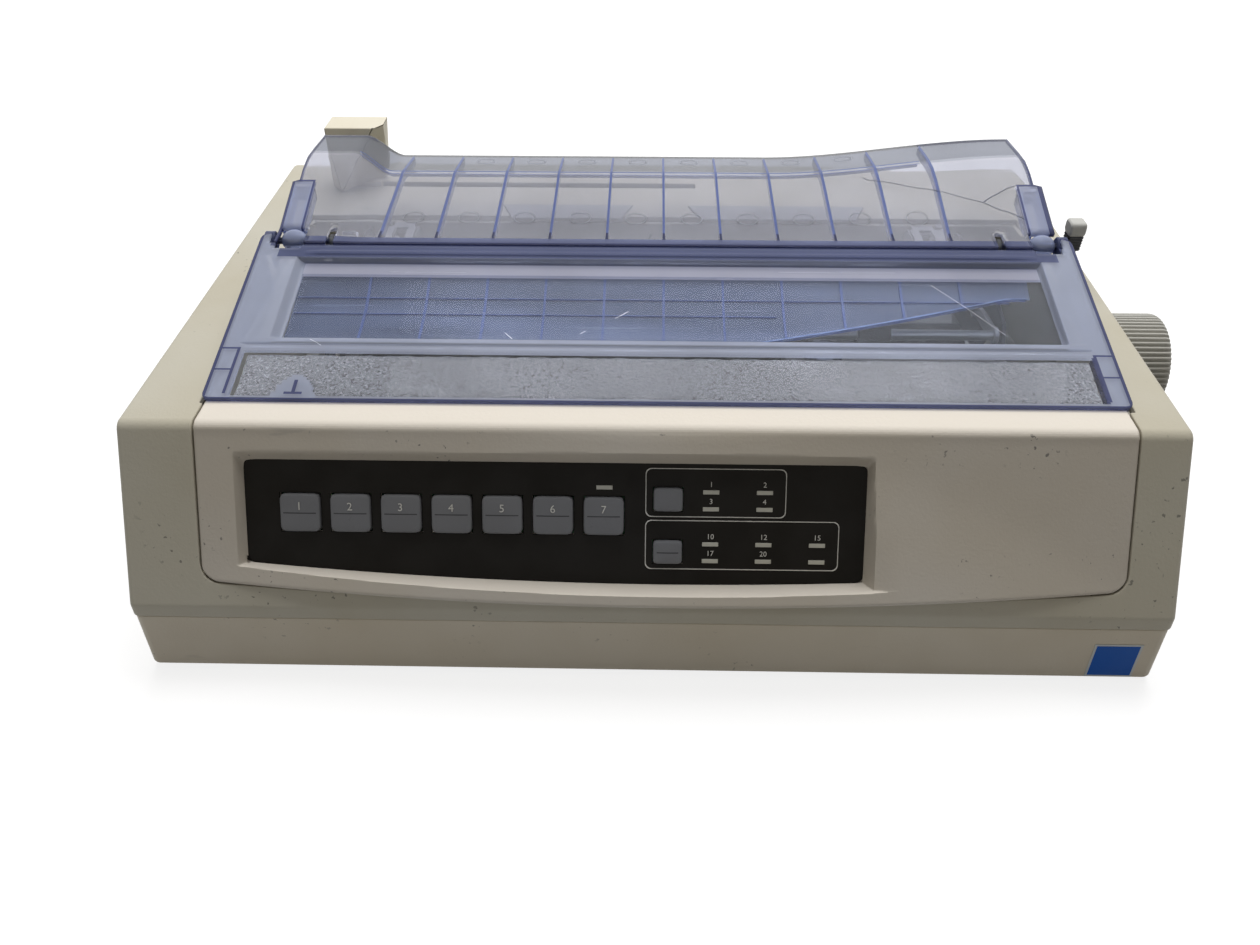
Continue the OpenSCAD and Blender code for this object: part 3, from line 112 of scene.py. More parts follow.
HALF_W = (CASE_HIGH[0] - CASE_LOW[0]) / MM / 2
DEPTH, SEAM_Z = (CASE_HIGH - CASE_LOW)[1:] / MM
TOP_Z = node_box("upper_case")[1][2]
UPPER_Z = node_box("upper_case")[0][2]
BAND_Z = SEAM_Z + 5.9
LEAN = math.radians(27.5)
TOP_Y = (TOP_Z - BAND_Z) * math.tan(LEAN)
FACE_LENGTH = (TOP_Z - BAND_Z) / math.cos(LEAN)
EDGE_R, DECK_R, REAR_R = 5.0, 8.0, 5.0
DECK_Y = 214.0
DECK_END = DEPTH - 65.0
REAR_Z = 60.0

FASCIA_L, FASCIA_R = node_box("front_fascia")[0][0], node_box("front_fascia")[1][0]
FASCIA_MID = (FASCIA_L + FASCIA_R) / 2
FASCIA_LOW = 67.1
FASCIA_BACK = 47.5

COVER_L, COVER_R = node_box("access_cover")[0][0], node_box("access_cover")[1][0]
WELL_L, WELL_R = COVER_L - 0.6, COVER_R + 0.6
WELL_MID = (WELL_L + WELL_R) / 2
COVER_Y = 46.5
COVER_Z = TOP_Z + 1.4
SLOPE = math.radians(12.8)
HINGE_Y = COVER_Y + 99.2
HINGE_Z = COVER_Z + (HINGE_Y - COVER_Y) * math.tan(SLOPE) - 5
COVER_LENGTH = (HINGE_Y - 8.4 - COVER_Y) / math.cos(SLOPE)
CORNER_LENGTH = (HINGE_Y - 1.3 - COVER_Y) / math.cos(SLOPE)
EAR_W = 5.4
SEP_L, SEP_R = node_box("separator")[0][0], node_box("separator")[1][0]
SEP_MID = (SEP_L + SEP_R) / 2
SEP_Y = HINGE_Y - 7
SEP_Z = HINGE_Z + 3


# ---- Coordinate helpers ----


def on_face(x, v, n):
    """A point of the sloping front: x along it, v down it and n out of it."""
    x, v, n = np.broadcast_arrays(*(np.asarray(a, float) for a in (x, v, n)))
    y = TOP_Y - v * math.sin(LEAN) - n * math.cos(LEAN)
    z = TOP_Z - v * math.cos(LEAN) + n * math.sin(LEAN)
    return np.stack([x, y, z], -1)


def on_cover(x, s, h):
    """A point of the cover's plane: x along it, s up its slope and h above it."""
    x, s, h = np.broadcast_arrays(*(np.asarray(a, float) for a in (x, s, h)))
    y = COVER_Y + s * math.cos(SLOPE) - h * math.sin(SLOPE)
    z = COVER_Z + s * math.sin(SLOPE) + h * math.cos(SLOPE)
    return np.stack([x, y, z], -1)


def smooth(t):
    """3 t^2 - 2 t^3 between 0 and 1, and flat outside."""
    t = np.clip(t, 0, 1)
    return t * t * (3 - 2 * t)


def soft_max(a, b, k):
    """The larger of a and b, with the corner between them rounded over k."""
    return (a + b + np.sqrt((a - b) ** 2 + k * k)) / 2


def between(values, low, high):
    """True where a value lies between two others."""
    return (values > low) & (values < high)


def spread(stops, step):
    """The stops in order, with evenly spaced values added where two are over step apart."""
    stops = sorted(set(round(float(s), 4) for s in stops))
    parts = [
        np.linspace(a, b, max(1, math.ceil((b - a) / step)) + 1)[:-1]
        for a, b in zip(stops, stops[1:])
    ]
    return np.concatenate(parts + [stops[-1:]])


def rounded_path(corners, radii, steps):
    """Points and outward normals along corners joined by arcs of the given radii.

    An arc touches both sides r tan(turn / 2) from its corner. The outside is on the left.
    """
    corners = np.asarray(corners, float)
    points, normals = [], []
    for i, (corner, r) in enumerate(zip(corners, radii)):
        ahead = corners[min(i + 1, len(corners) - 1)] - corners[min(i, len(corners) - 2)]
        back = corners[max(i, 1)] - corners[max(i - 1, 0)]
        a0, a1 = (math.atan2(d[1], d[0]) for d in (back, ahead))
        turn = (a1 - a0 + math.pi) % (2 * math.pi) - math.pi
        if r == 0 or abs(turn) < 1e-6:
            points.append(corner)
            normals.append([-math.sin(a0 + turn / 2), math.cos(a0 + turn / 2)])
            continue
        reach = r * math.tan(abs(turn) / 2)
        start = corner - reach * back / np.linalg.norm(back)
        side = math.copysign(1, -turn)
        centre = start - side * r * np.array([-math.sin(a0), math.cos(a0)])
        for k in range(steps + 1):
            a = a0 + turn * k / steps
            normal = np.array([-math.sin(a), math.cos(a)])
            points.append(centre + side * r * normal)
            normals.append(normal)
    return np.array(points), np.array(normals)


# ---- Mesh helpers ----


def grid(points, keep=None, flip=False):
    """A patch: the points of a rows by columns grid and the quads of the cells to keep."""
    rows, cols = points.shape[:2]
    i, j = np.meshgrid(np.arange(rows - 1), np.arange(cols - 1), indexing="ij")
    a = i * cols + j
    quads = np.stack([a, a + 1, a + cols + 1, a + cols], -1)
    quads = quads[keep] if keep is not None else quads.reshape(-1, 4)
    return points.reshape(-1, 3), (quads[:, ::-1] if flip else quads).tolist()


def cell_middle(points):
    """The mean of the four corners of each cell of a grid."""
    return (points[:-1, :-1] + points[1:, :-1] + points[:-1, 1:] + points[1:, 1:]) / 4


def opposite_middle(values):
    """The mean of the first and the opposite corner of each cell of a grid."""
    return (values[:-1, :-1] + values[1:, 1:]) / 2


def sort_cells(points, *kinds):
    """One patch of a grid for each kind of cell, with the kind's place as its finish."""
    return [(points.reshape(-1, 3), grid(points, keep)[1], index) for index, keep in enumerate(kinds)]


BOX_FACES = [[0, 1, 3, 2], [4, 6, 7, 5], [0, 4, 5, 1], [2, 3, 7, 6], [0, 2, 6, 4], [1, 5, 7, 3]]


def block(low, high):
    """A patch: the six faces of a box between two corners."""
    low, high = np.asarray(low, float), np.asarray(high, float)
    corners = np.array([[i, j, k] for i in (0, 1) for j in (0, 1) for k in (0, 1)])
    return low + corners * (high - low), BOX_FACES


def loft(sections):
    """A patch: equal closed sections joined in order, with their ends filled."""
    sections = np.asarray(sections, float)
    rows, cols = sections.shape[:2]
    i, j = np.meshgrid(np.arange(rows - 1), np.arange(cols), indexing="ij")
    k = (j + 1) % cols
    quads = np.stack([i * cols + j, i * cols + k, (i + 1) * cols + k, (i + 1) * cols + j], -1)
    faces = quads.reshape(-1, 4).tolist()
    faces.append(list(range(cols))[::-1])
    faces.append(list(range((rows - 1) * cols, rows * cols)))
    return sections.reshape(-1, 3), faces


def circle(count):
    """Evenly spaced angles once round, without the one that would meet the first."""
    return np.linspace(0, 2 * math.pi, count, endpoint=False)


def turned(x, r, centre, angles):
    """A patch: rings of radius r at x, round the line along X through centre (y, z).

    r holds one number for each ring, or a row of them with one for each angle.
    """
    x, r = (np.asarray(value, float).reshape(len(x), -1) for value in (x, r))
    y, z = centre[0] + r * np.cos(angles), centre[1] + r * np.sin(angles)
    return loft(np.stack([x + 0 * angles, y, z], -1))


def rounded_rectangle(x0, x1, y0, y1, r, steps):
    """Points round a rectangle whose corners are quarter circles of radius r."""
    a = np.linspace(0, math.pi / 2, steps)
    middles = ((x1 - r, y1 - r), (x0 + r, y1 - r), (x0 + r, y0 + r), (x1 - r, y0 + r))
    return np.concatenate([
        np.stack([x + r * np.cos(a + i * math.pi / 2), y + r * np.sin(a + i * math.pi / 2)], 1)
        for i, (x, y) in enumerate(middles)
    ])


def hanging_wall(top, depth, across, index):
    """A patch: a wall that hangs down by depth from a line of points and is across thick."""
    low = top - [0, 0, depth]
    return (*loft(np.stack([top, low, low + across, top + across], 1)), index)


def make_piece(name, patches, body, finishes, replaces=(), recalc=False):
    """One object from patches (points, faces[, finish's index]), welded, riding on a body."""
    points, faces, index, start = [], [], [], 0
    for patch in patches:
        points.append(patch[0])
        faces += [[start + v for v in face] for face in patch[1]]
        index += [patch[2] if len(patch) > 2 else 0] * len(patch[1])
        start += len(patch[0])
    mesh = bpy.data.meshes.new(name)
    mesh.from_pydata(place(np.concatenate(points)).tolist(), [], faces)
    mesh.polygons.foreach_set("material_index", index)
    return finish_piece(name, mesh, body, finishes, replaces, recalc)


def add_object(name, data):
    """A new object in the scene."""
    obj = bpy.data.objects.new(name, data)
    bpy.context.scene.collection.objects.link(obj)
    return obj


def finish_piece(name, mesh, body, finishes, replaces=(), recalc=False, weld=1e-3):
    """finishes are names. weld is a distance in millimetres. recalc turns the faces outwards.
    """
    bm = bmesh.new()
    bm.from_mesh(mesh)
    bmesh.ops.remove_doubles(bm, verts=bm.verts, dist=weld * MM)
    bmesh.ops.dissolve_degenerate(bm, edges=bm.edges, dist=weld * MM)
    if recalc:
        bmesh.ops.recalc_face_normals(bm, faces=bm.faces)
    bm.to_mesh(mesh)
    bm.free()
    for key in finishes:
        mesh.materials.append(finish(key))
    mesh.polygons.foreach_set("use_smooth", [True] * len(mesh.polygons))
    mesh.set_sharp_from_angle(angle=math.radians(35))
    obj = add_object(name, mesh)
    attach(obj, body)
    if replaces:
        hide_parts(*replaces)
    return obj


def thicken(obj, mm, even=False):
    """Gives a sheet a wall inwards from its outer face, of even thickness at corners if even."""
    wall = obj.modifiers.new("Wall", "SOLIDIFY")
    wall.thickness = mm * MM
    wall.offset = -1
    wall.use_even_offset = even
    return obj


def soften(obj, mm, angle=35):
    """Rounds the edges sharper than angle and evens out the shading of the flat faces."""
    edge = obj.modifiers.new("Edge", "BEVEL")
    edge.width = mm * MM
    edge.segments = 2
    edge.limit_method = "ANGLE"
    edge.angle_limit = math.radians(angle)
    edge.use_clamp_overlap = False
    edge.miter_outer = "MITER_ARC"
    normals = obj.modifiers.new("Normals", "WEIGHTED_NORMAL")
    normals.keep_sharp = False
    return obj


def refined(node, finish_name, mm, name=None, angle=30):
    """A welded copy of a CAD node with its flat triangles joined and its edges rounded."""
    source = frame["nodes"][node]
    points = np.zeros(len(source.data.vertices) * 3, np.float32)
    source.data.vertices.foreach_get("co", points)
    corners = np.zeros(len(source.data.loops), np.int32)
    source.data.loops.foreach_get("vertex_index", corners)
    mesh = bpy.data.meshes.new(name or node + "_piece")
    mesh.from_pydata(points.reshape(-1, 3).tolist(), [], corners.reshape(-1, 3).tolist())
    bm = bmesh.new()
    bm.from_mesh(mesh)
    bmesh.ops.remove_doubles(bm, verts=bm.verts, dist=2e-6)
    bmesh.ops.dissolve_degenerate(bm, edges=bm.edges, dist=2e-6)
    bmesh.ops.dissolve_limit(bm, angle_limit=math.radians(0.8), verts=bm.verts, edges=bm.edges)
    bm.to_mesh(mesh)
    bm.free()
    obj = finish_piece(mesh.name, mesh, source["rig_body"], [finish_name], [node], weld=1e-4)
    return soften(obj, mm, angle)


# ---- Finishes ----


def node(tree, kind, sockets=None, **settings):
    """Adds a shader node, sets its own settings, and sets or links its sockets."""
    made = tree.nodes.new("ShaderNode" + kind)
    for key, value in settings.items():
        setattr(made, key, value)
    for key, value in (sockets or {}).items():
        if isinstance(value, bpy.types.NodeSocket):
            tree.links.new(value, made.inputs[key])
        else:
            made.inputs[key].default_value = value
    return made


def new_finish(name, colour, **sockets):
    """A Principled material with constant sockets set on the shader itself."""
    finish = bpy.data.materials.new(name)
    finish.use_nodes = True
    tree = finish.node_tree
    shader = tree.nodes["Principled BSDF"]
    shader.inputs["Base Color"].default_value = (*colour, 1)
    for key, value in sockets.items():
        shader.inputs[key.replace("_", " ")].default_value = value
    finish.diffuse_color = (*colour, 1)
    return finish, tree, shader


def noise(tree, scale, detail, stretch=None):
    """Noise on the object's own coordinates. scale is in patches to the metre."""
    vector = node(tree, "TexCoord").outputs["Object"]
    if stretch:
        vector = node(tree, "Mapping", {"Vector": vector, "Scale": stretch}).outputs["Vector"]
    made = node(tree, "TexNoise", {"Vector": vector, "Scale": scale, "Detail": detail})
    return made.outputs["Fac"]


def ramp(tree, value, low, high, to_low=0.0, to_high=1.0):
    """Carries value smoothly from the span low to high onto the span to_low to to_high."""
    return node(tree, "MapRange", {
        "Value": value, "From Min": low, "From Max": high, "To Min": to_low, "To Max": to_high,
    }, interpolation_type="SMOOTHSTEP").outputs["Result"]


def times(tree, a, b):
    """The product of two values."""
    return node(tree, "Math", {0: a, 1: b}, operation="MULTIPLY").outputs[0]


def blend_colour(tree, share, a, b):
    """a where share is 0 and b where it is 1. Each is a colour or a colour socket."""
    a, b = (c if isinstance(c, bpy.types.NodeSocket) else (*c, 1) for c in (a, b))
    return node(tree, "Mix", {0: share, 6: a, 7: b}, data_type="RGBA").outputs[2]


def show_mixed(tree, share, a, b, output="Material Output"):
    """Sends shader node a where share is 0, and b where it is 1, to the tree's output."""
    mixed = node(tree, "MixShader", {0: share, 1: a.outputs[0], 2: b.outputs[0]})
    tree.links.new(mixed.outputs[0], tree.nodes[output].inputs["Surface"])


def bump(tree, shader, height, strength, mm):
    """Roughens the shader's normal with a height pattern of that depth."""
    made = node(tree, "Bump", {"Height": height, "Strength": strength, "Distance": mm * MM})
    tree.links.new(made.outputs["Normal"], shader.inputs["Normal"])


def shade(colour, factor):
    """A colour times a number."""
    return tuple(min(1.0, c * factor) for c in colour)


def moulded_plastic(name, colour, grain=0.5, specks=0.5, rough=0.48, drift=0.05, gloss=0.35, top=0.0):
    """Moulded plastic: slow drift of shade, spark-eroded grain, faint grime and dark specks.

    Top is how much paler its level faces are painted than its upright ones: painted light, as if lit from
    above.
    """
    finish, tree, shader = new_finish(name, colour, Roughness=rough, Specular_IOR_Level=gloss)
    slow = noise(tree, 9, 3)
    warm = (colour[0] * (1 - drift), colour[1] * (1 - drift * 1.5), colour[2] * (1 - drift * 2.6))
    body = blend_colour(tree, ramp(tree, slow, 0.35, 0.7), shade(colour, 1 + drift * 0.4), warm)
    if specks:
        fine = ramp(tree, noise(tree, 430, 3), 0.66, 0.71)
        where = ramp(tree, noise(tree, 26, 2), 0.50, 0.64, 0, specks)
        body = blend_colour(tree, times(tree, fine, where), body, shade(colour, 0.28))
        rub = ramp(tree, noise(tree, 160, 4, (0.25, 1.6, 1.6)), 0.66, 0.74)
        rubbed = ramp(tree, noise(tree, 14, 1), 0.55, 0.75, 0, specks * 0.45)
        body = blend_colour(tree, times(tree, rub, rubbed), body, shade(colour, 0.62))
    # Painted light: faces whose normal looks up are painted paler by top, as if lit from above.
    if top:
        normal = node(tree, "NewGeometry").outputs["True Normal"]
        up = node(tree, "SeparateXYZ", {0: normal}).outputs["Z"]
        body = blend_colour(tree, ramp(tree, up, 0.6, 0.98), body, shade(colour, 1 + top))
    tree.links.new(body, shader.inputs["Base Color"])
    texture = noise(tree, 800, 3)
    wear = ramp(tree, noise(tree, 60, 3), 0.3, 0.7, rough - 0.05, rough + 0.08)
    tree.links.new(wear, shader.inputs["Roughness"])
    bump(tree, shader, texture, grain, 0.2)
    return finish


def clear_plastic(name, tint, clear, rough=0.05, wear=0.4, ior=1.2, streaks=0.0):
    """Smoked clear plastic with fine scratches, haze and, where asked for, streaks and blots.

    It lets the lamps' rays straight through, so what lies behind it is lit.
    """
    finish, tree, shader = new_finish(name, tint, Roughness=rough, IOR=ior, Transmission_Weight=clear)
    lines = ramp(tree, noise(tree, 240, 3, (0.06, 1.4, 1.4)), 0.62, 0.72)
    gloss = ramp(tree, lines, 0, 1, rough, rough + 0.22 * wear)
    tree.links.new(gloss, shader.inputs["Roughness"])
    haze = ramp(tree, noise(tree, 14, 3), 0.3, 0.75)
    body = blend_colour(tree, haze, shade(tint, 1.06), shade(tint, 0.90))
    if streaks:
        long = ramp(tree, noise(tree, 70, 4, (0.09, 1, 1)), 0.35, 0.7)
        body = blend_colour(tree, times(tree, long, 0.6), body, shade(tint, 1 + streaks))
        blots = ramp(tree, noise(tree, 22, 3, (0.5, 1, 1)), 0.45, 0.7, 0, 0.55)
        body = blend_colour(tree, blots, body, shade(tint, 1 - 0.5 * streaks))
    tree.links.new(body, shader.inputs["Base Color"])
    bump(tree, shader, noise(tree, 90, 2), 0.05, 0.3)
    through = node(tree, "BsdfTransparent", {"Color": (*(0.5 + 0.5 * c for c in tint), 1)})
    show_mixed(tree, node(tree, "LightPath").outputs["Is Shadow Ray"], shader, through)
    return finish


def metal(name, colour, rough=0.3, stretch=(0.02, 1, 1)):
    """Metal with drawn or brushed lines along its long side and small stains."""
    finish, tree, shader = new_finish(name, colour, Metallic=1.0, Roughness=rough)
    lines = noise(tree, 900, 3, stretch)
    tree.links.new(ramp(tree, lines, 0.25, 0.75, rough * 0.8, rough * 1.35), shader.inputs["Roughness"])
    stain = ramp(tree, noise(tree, 40, 3), 0.5, 0.8, 0, 0.35)
    tree.links.new(blend_colour(tree, stain, colour, shade(colour, 0.7)), shader.inputs["Base Color"])
    bump(tree, shader, lines, 0.25, 0.03)
    return finish


def rubber(name, colour, rough=0.75):
    """Matt rubber with fine pores and dust."""
    finish, tree, shader = new_finish(name, colour, Roughness=rough)
    dust = ramp(tree, noise(tree, 70, 4), 0.5, 0.75, 0, 0.3)
    tree.links.new(blend_colour(tree, dust, colour, (0.22, 0.22, 0.21)), shader.inputs["Base Color"])
    bump(tree, shader, noise(tree, 2200, 2), 0.5, 0.06)
    return finish


def foam(name, colour):
    """Open-cell foam: pale flecks and dark pores over a slowly drifting grey."""
    finish, tree, shader = new_finish(name, colour, Roughness=0.95, Sheen_Weight=0.3)
    flecks = ramp(tree, noise(tree, 1000, 3), 0.55, 0.60)
    pores = ramp(tree, noise(tree, 850, 3), 0.38, 0.45, 1, 0)
    shade_map = ramp(tree, noise(tree, 12, 3), 0.3, 0.75)
    body = blend_colour(tree, shade_map, shade(colour, 0.86), shade(colour, 1.1))
    body = blend_colour(tree, times(tree, flecks, 0.6), body, shade(colour, 2.4))
    body = blend_colour(tree, times(tree, pores, 0.8), body, shade(colour, 0.25))
    tree.links.new(body, shader.inputs["Base Color"])
    bump(tree, shader, noise(tree, 800, 3), 0.9, 0.5)
    return finish


def circuit_board(name, colour):
    """Green solder mask with paler tracks in brick-like runs."""
    finish, tree, shader = new_finish(name, colour, Roughness=0.35)
    tracks = node(tree, "TexBrick", {
        "Vector": node(tree, "TexCoord").outputs["Object"], "Scale": 90.0, "Mortar Size": 0.03,
        "Color1": (*colour, 1), "Color2": (0.04, 0.20, 0.10, 1), "Mortar": (0.12, 0.34, 0.16, 1)})
    tree.links.new(tracks.outputs["Color"], shader.inputs["Base Color"])
    return finish


def make_finishes(colours):
    """All of the printer's finishes by name. Each row is what the function for its kind takes."""
    cream, key = tuple(colours.case), tuple(colours.key)
    plastics = {
        "case": ("case plastic", cream, 0.5, 0.8),
        "base": ("base plastic", tuple(colours.base), 0.5, 0.8),
        # The fascia's last number paints its level faces paler: painted light from above.
        "fascia": ("fascia plastic", tuple(colours.fascia), 0.5, 1.0, 0.42, 0.05, 0.5, 0.38),
        "guide": ("guide plastic", shade(cream, 1.4), 0.3, 0.3, 0.42),
        "panel": ("panel black", tuple(colours.panel), 0.25, 0, 0.62, 0.1, 0.1),
        "key": ("key grey", key, 0.4, 0.15, 0.5, 0.04),
        # groove colours the thin dark line drawn across a divided key.
        "groove": ("key groove", shade(key, 0.25), 0.2, 0, 0.6),
        "print": ("printed grey", (0.72, 0.72, 0.70), 0.1, 0, 0.6),
        "window": ("indicator window", (0.55, 0.55, 0.50), 0.1, 0, 0.3),
        "label": ("label blue", (0.012, 0.115, 0.52), 0.1, 0.3, 0.45, 0.05, 0.12),
        "label_edge": ("label edge", (0.62, 0.66, 0.68), 0.1, 0.2, 0.4),
        "scratch": ("scratch", (0.62, 0.64, 0.72), 0.1, 0, 0.5),
        "mark": ("moulding mark", (0.24, 0.25, 0.29), 0.1, 0, 0.5),
        # The crack finish also colours the slot's line in the ridge: painted shade there.
        "crack": ("crack", (0.10, 0.11, 0.15), 0.1, 0, 0.5),
        "knob": ("knob grey", (0.52, 0.52, 0.495), 0.5, 0.3, 0.5),
        "grey": ("light grey plastic", (0.38, 0.38, 0.38), 0.3, 0.2, 0.5),
        "dark": ("dark grey plastic", (0.035, 0.035, 0.04), 0.4, 0, 0.5),
        "nylon": ("gear nylon", (0.70, 0.67, 0.58), 0.1, 0, 0.4),
        "ribbon": ("ribbon knob", (0.03, 0.04, 0.07), 0.2, 0, 0.4),
    }
    clears = {
        "clear": ("smoked blue", tuple(colours.clear), 0.55, 0.12),
        "window_clear": ("window", (0.63, 0.66, 0.73), 0.95, 0.03, 0.4, 1.12),
        "front_clear": ("front of the cover", (0.88, 0.89, 0.92), 0.97, 0.0, 0.1, 1.12),
        "sheet_clear": ("separator sheet", (0.53, 0.54, 0.60), 0.75, 0.04, 0.4, 1.12),
        # Painted shade: the same clear sheet as the row above, tinted darker where it lies behind the ridge.
        "sheet_back_painted_shade": ("separator back", (0.32, 0.335, 0.385), 0.75, 0.05, 0.4, 1.12),
        "band": ("smoked blue band", (0.12, 0.14, 0.26), 0.4, 0.12),
        "edge": ("smoked blue edge", tuple(colours.edge), 0.25, 0.15, 0.4, 1.4),
        "rib": ("smoked blue rib", tuple(colours.rib), 0.5, 0.12),
        "rib_end": ("rib end", (0.025, 0.03, 0.08), 0.1, 0.2),
        "ball": ("knuckle", (0.42, 0.48, 0.70), 0.45, 0.03, 0.2, 1.4),
        "shield": ("shield", (0.115, 0.14, 0.215), 0.18, 0.25, 0.4, 1.12, 0.8),
        # Painted highlights: the shield's ribs, rails and lower edge are tinted paler blue for the light
        # they catch.
        "shield_rib": ("shield rib", (0.13, 0.18, 0.40), 0.25, 0.15, 0.4, 1.12),
        "shield_edge": ("shield edge", (0.25, 0.36, 0.68), 0.3, 0.12),
        "arm": ("separator arm", (0.40, 0.43, 0.55), 0.5, 0.08, 0.4, 1.2),
        "sheet_rib": ("rib of the sheet", (0.125, 0.165, 0.36), 0.35, 0.1),
        "pale": ("pale strip", (0.40, 0.41, 0.50), 0.25, 0.2, 0.4, 1.12),
    }
    metals = {
        "pin": ("dark pin", (0.10, 0.11, 0.16), 0.35),
        "steel": ("plated steel", (0.56, 0.57, 0.58), 0.34),
        "sheet_steel": ("dull sheet steel", (0.15, 0.155, 0.165), 0.62),
        "shaft": ("ground steel", (0.66, 0.66, 0.67), 0.14),
        "brass": ("brass", (0.66, 0.47, 0.18), 0.25, (1, 1, 1)),
        "motor": ("painted motor", (0.05, 0.05, 0.055), 0.45, (1, 1, 1)),
    }
    finishes = {
        "foam": foam("grey foam", tuple(colours.foam)),
        "rubber": rubber("black rubber", (0.018, 0.018, 0.019)),
        "board": circuit_board("circuit board", (0.03, 0.16, 0.08)),
    }
    for make, plan in ((moulded_plastic, plastics), (clear_plastic, clears), (metal, metals)):
        finishes.update({name: make(*values) for name, values in plan.items()})
    return finishes


# ---- Settings ----


def colour(name, description, default):
    """A colour that a user may change."""
    return FloatVectorProperty(name=name, description=description, default=default,
                               subtype="COLOR", size=3, min=0, max=1)


class PrinterColours(bpy.types.PropertyGroup):
    """Colours of the main finishes."""

    case: colour("Case", "Cream plastic of the upper casing", (0.53, 0.505, 0.425))
    base: colour("Base", "Cream plastic of the lower casing", (0.70, 0.64, 0.53))
    fascia: colour("Fascia", "Cream plastic of the front", (0.56, 0.52, 0.46))
    panel: colour("Panel", "Overlay of the control panel", (0.012, 0.011, 0.010))
    key: colour("Keys", "Key caps", (0.16, 0.165, 0.18))
    clear: colour("Clear covers", "Tint of the clear plastic", (0.46, 0.495, 0.60))
    edge: colour("Cover edges", "Cut edges of the clear plastic", (0.05, 0.06, 0.16))
    rib: colour("Cover ribs", "Ribs seen through the clear plastic", (0.14, 0.20, 0.48))
    foam: colour("Foam", "Foam strip under the cover", (0.13, 0.135, 0.148))


class PrinterSizes(bpy.types.PropertyGroup):
    """Sizes that the look depends on."""

    case_edge: FloatProperty(name="Case edge", description="Radius of the outer edges of the cheeks",
                             subtype="DISTANCE", unit="LENGTH", default=0.0025, min=0.001, max=0.004)
    wall: FloatProperty(name="Wall", description="Thickness of the casings",
                        subtype="DISTANCE", unit="LENGTH", default=0.0025, min=0.002, max=0.003)
    knob_ribs: IntProperty(name="Knob grooves", description="Number of grooves round the platen knob",
                           default=60, min=36, max=72)
    lens: FloatProperty(name="Lens", description="Focal length of the camera in millimetres",
                        default=30.58, min=20, max=80)


FINISHES = {}


def finish(name):
    """A finish by name, made with the others the first time that one is asked for."""
    if not FINISHES:
        FINISHES.update(make_finishes(bpy.context.scene.printer_colours))
    return FINISHES[name]


# ---- Casings ----


def fascia_low(x, grow=0.0):
    """How far down the front the fascia's lower edge lies at x, grow mm outside it.

    An arc that hangs sag mm lower in the middle, with both of its corners rounded over 7 mm.
    """
    sag, corner = 6.5, FASCIA_CORNER
    sag_r = ((FASCIA_R - FASCIA_L) ** 2 / 4 + sag ** 2) / (2 * sag)
    low = FASCIA_LOW + grow - (np.asarray(x, float) - FASCIA_MID) ** 2 / (2 * sag_r)
    near = np.minimum(x - (FASCIA_L - grow), (FASCIA_R + grow) - x)
    near = np.clip(near, 0, corner)
    return low - corner + np.sqrt(corner ** 2 - (corner - near) ** 2)


LEVER_X = WELL_R + 5.6
LEVER_Y = 158.0
VENT_X = [-100.0 + 13 * i for i in range(16)]
VENT_W = 5.0
VENT_Y = (DECK_END + 14, DEPTH - 14)
PORT_Z = SEAM_Z + 16
# The openings for the power inlet, the switch and the data port: middle, half width, half height.
SOCKETS = ((120.0, 14, 10), (160.0, 10.2, 7.2), (-110.0, 29, 8))
FASCIA_GAP = 0.4
FASCIA_CORNER = 7.0
WELL_Y = COVER_Y - 0.5
WELL_Z, WELL_REAR_Z = 48.0, 66.0
# The well, the lever's slot and the sheet guide's slot: x0, x1, y0, y1.
DECK_OPENINGS = (
    (WELL_L, WELL_R, WELL_Y, DECK_Y),
    (LEVER_X - 2.6, LEVER_X + 2.6, LEVER_Y - 13, LEVER_Y + 15),
    (WELL_L + 14, WELL_L + 194, 250.0, 256.0),
)
TAN_TOP = EDGE_R * math.tan((math.pi / 2 - LEAN) / 2)


def case_profile():
    """The upper case's outline from the middle of its front to the seam behind, and its normals.

    Each rounded corner is an arc of equal steps. Between them, on the deck, the rear slope and
    the back, points are added where an opening ends.
    """
    arc = 7
    corners = [[TOP_Y * 0.5, (TOP_Z + BAND_Z) / 2], [TOP_Y, TOP_Z], [DECK_END, TOP_Z],
               [DEPTH, REAR_Z], [DEPTH, UPPER_Z]]
    radii = [0, EDGE_R, DECK_R, REAR_R, 0]
    path, normals = (part[1:] for part in rounded_path(corners, radii, arc - 1))
    deck = spread([path[arc - 1][0], FASCIA_BACK + FASCIA_GAP, path[arc][0],
                   *(y for opening in DECK_OPENINGS for y in opening[2:])], 30)[1:-1]
    start, end = path[2 * arc - 1:2 * arc + 1]
    vents = [start + (end - start) * (y - start[0]) / (end[0] - start[0]) for y in VENT_Y]
    back = sorted({PORT_Z + s * half for _, _, half in SOCKETS for s in (-1, 1)}, reverse=True)
    added = [np.stack([deck, 0 * deck + TOP_Z], 1), vents, [[DEPTH, z] for z in back]]
    counts = [len(part) for part in added]
    at = np.repeat([arc, 2 * arc, 3 * arc], counts)
    facing = np.repeat([[0, 1.0], normals[2 * arc - 1], [1.0, 0]], counts, axis=0)
    return np.insert(path, at, np.concatenate(added), axis=0), np.insert(normals, at, facing, axis=0)


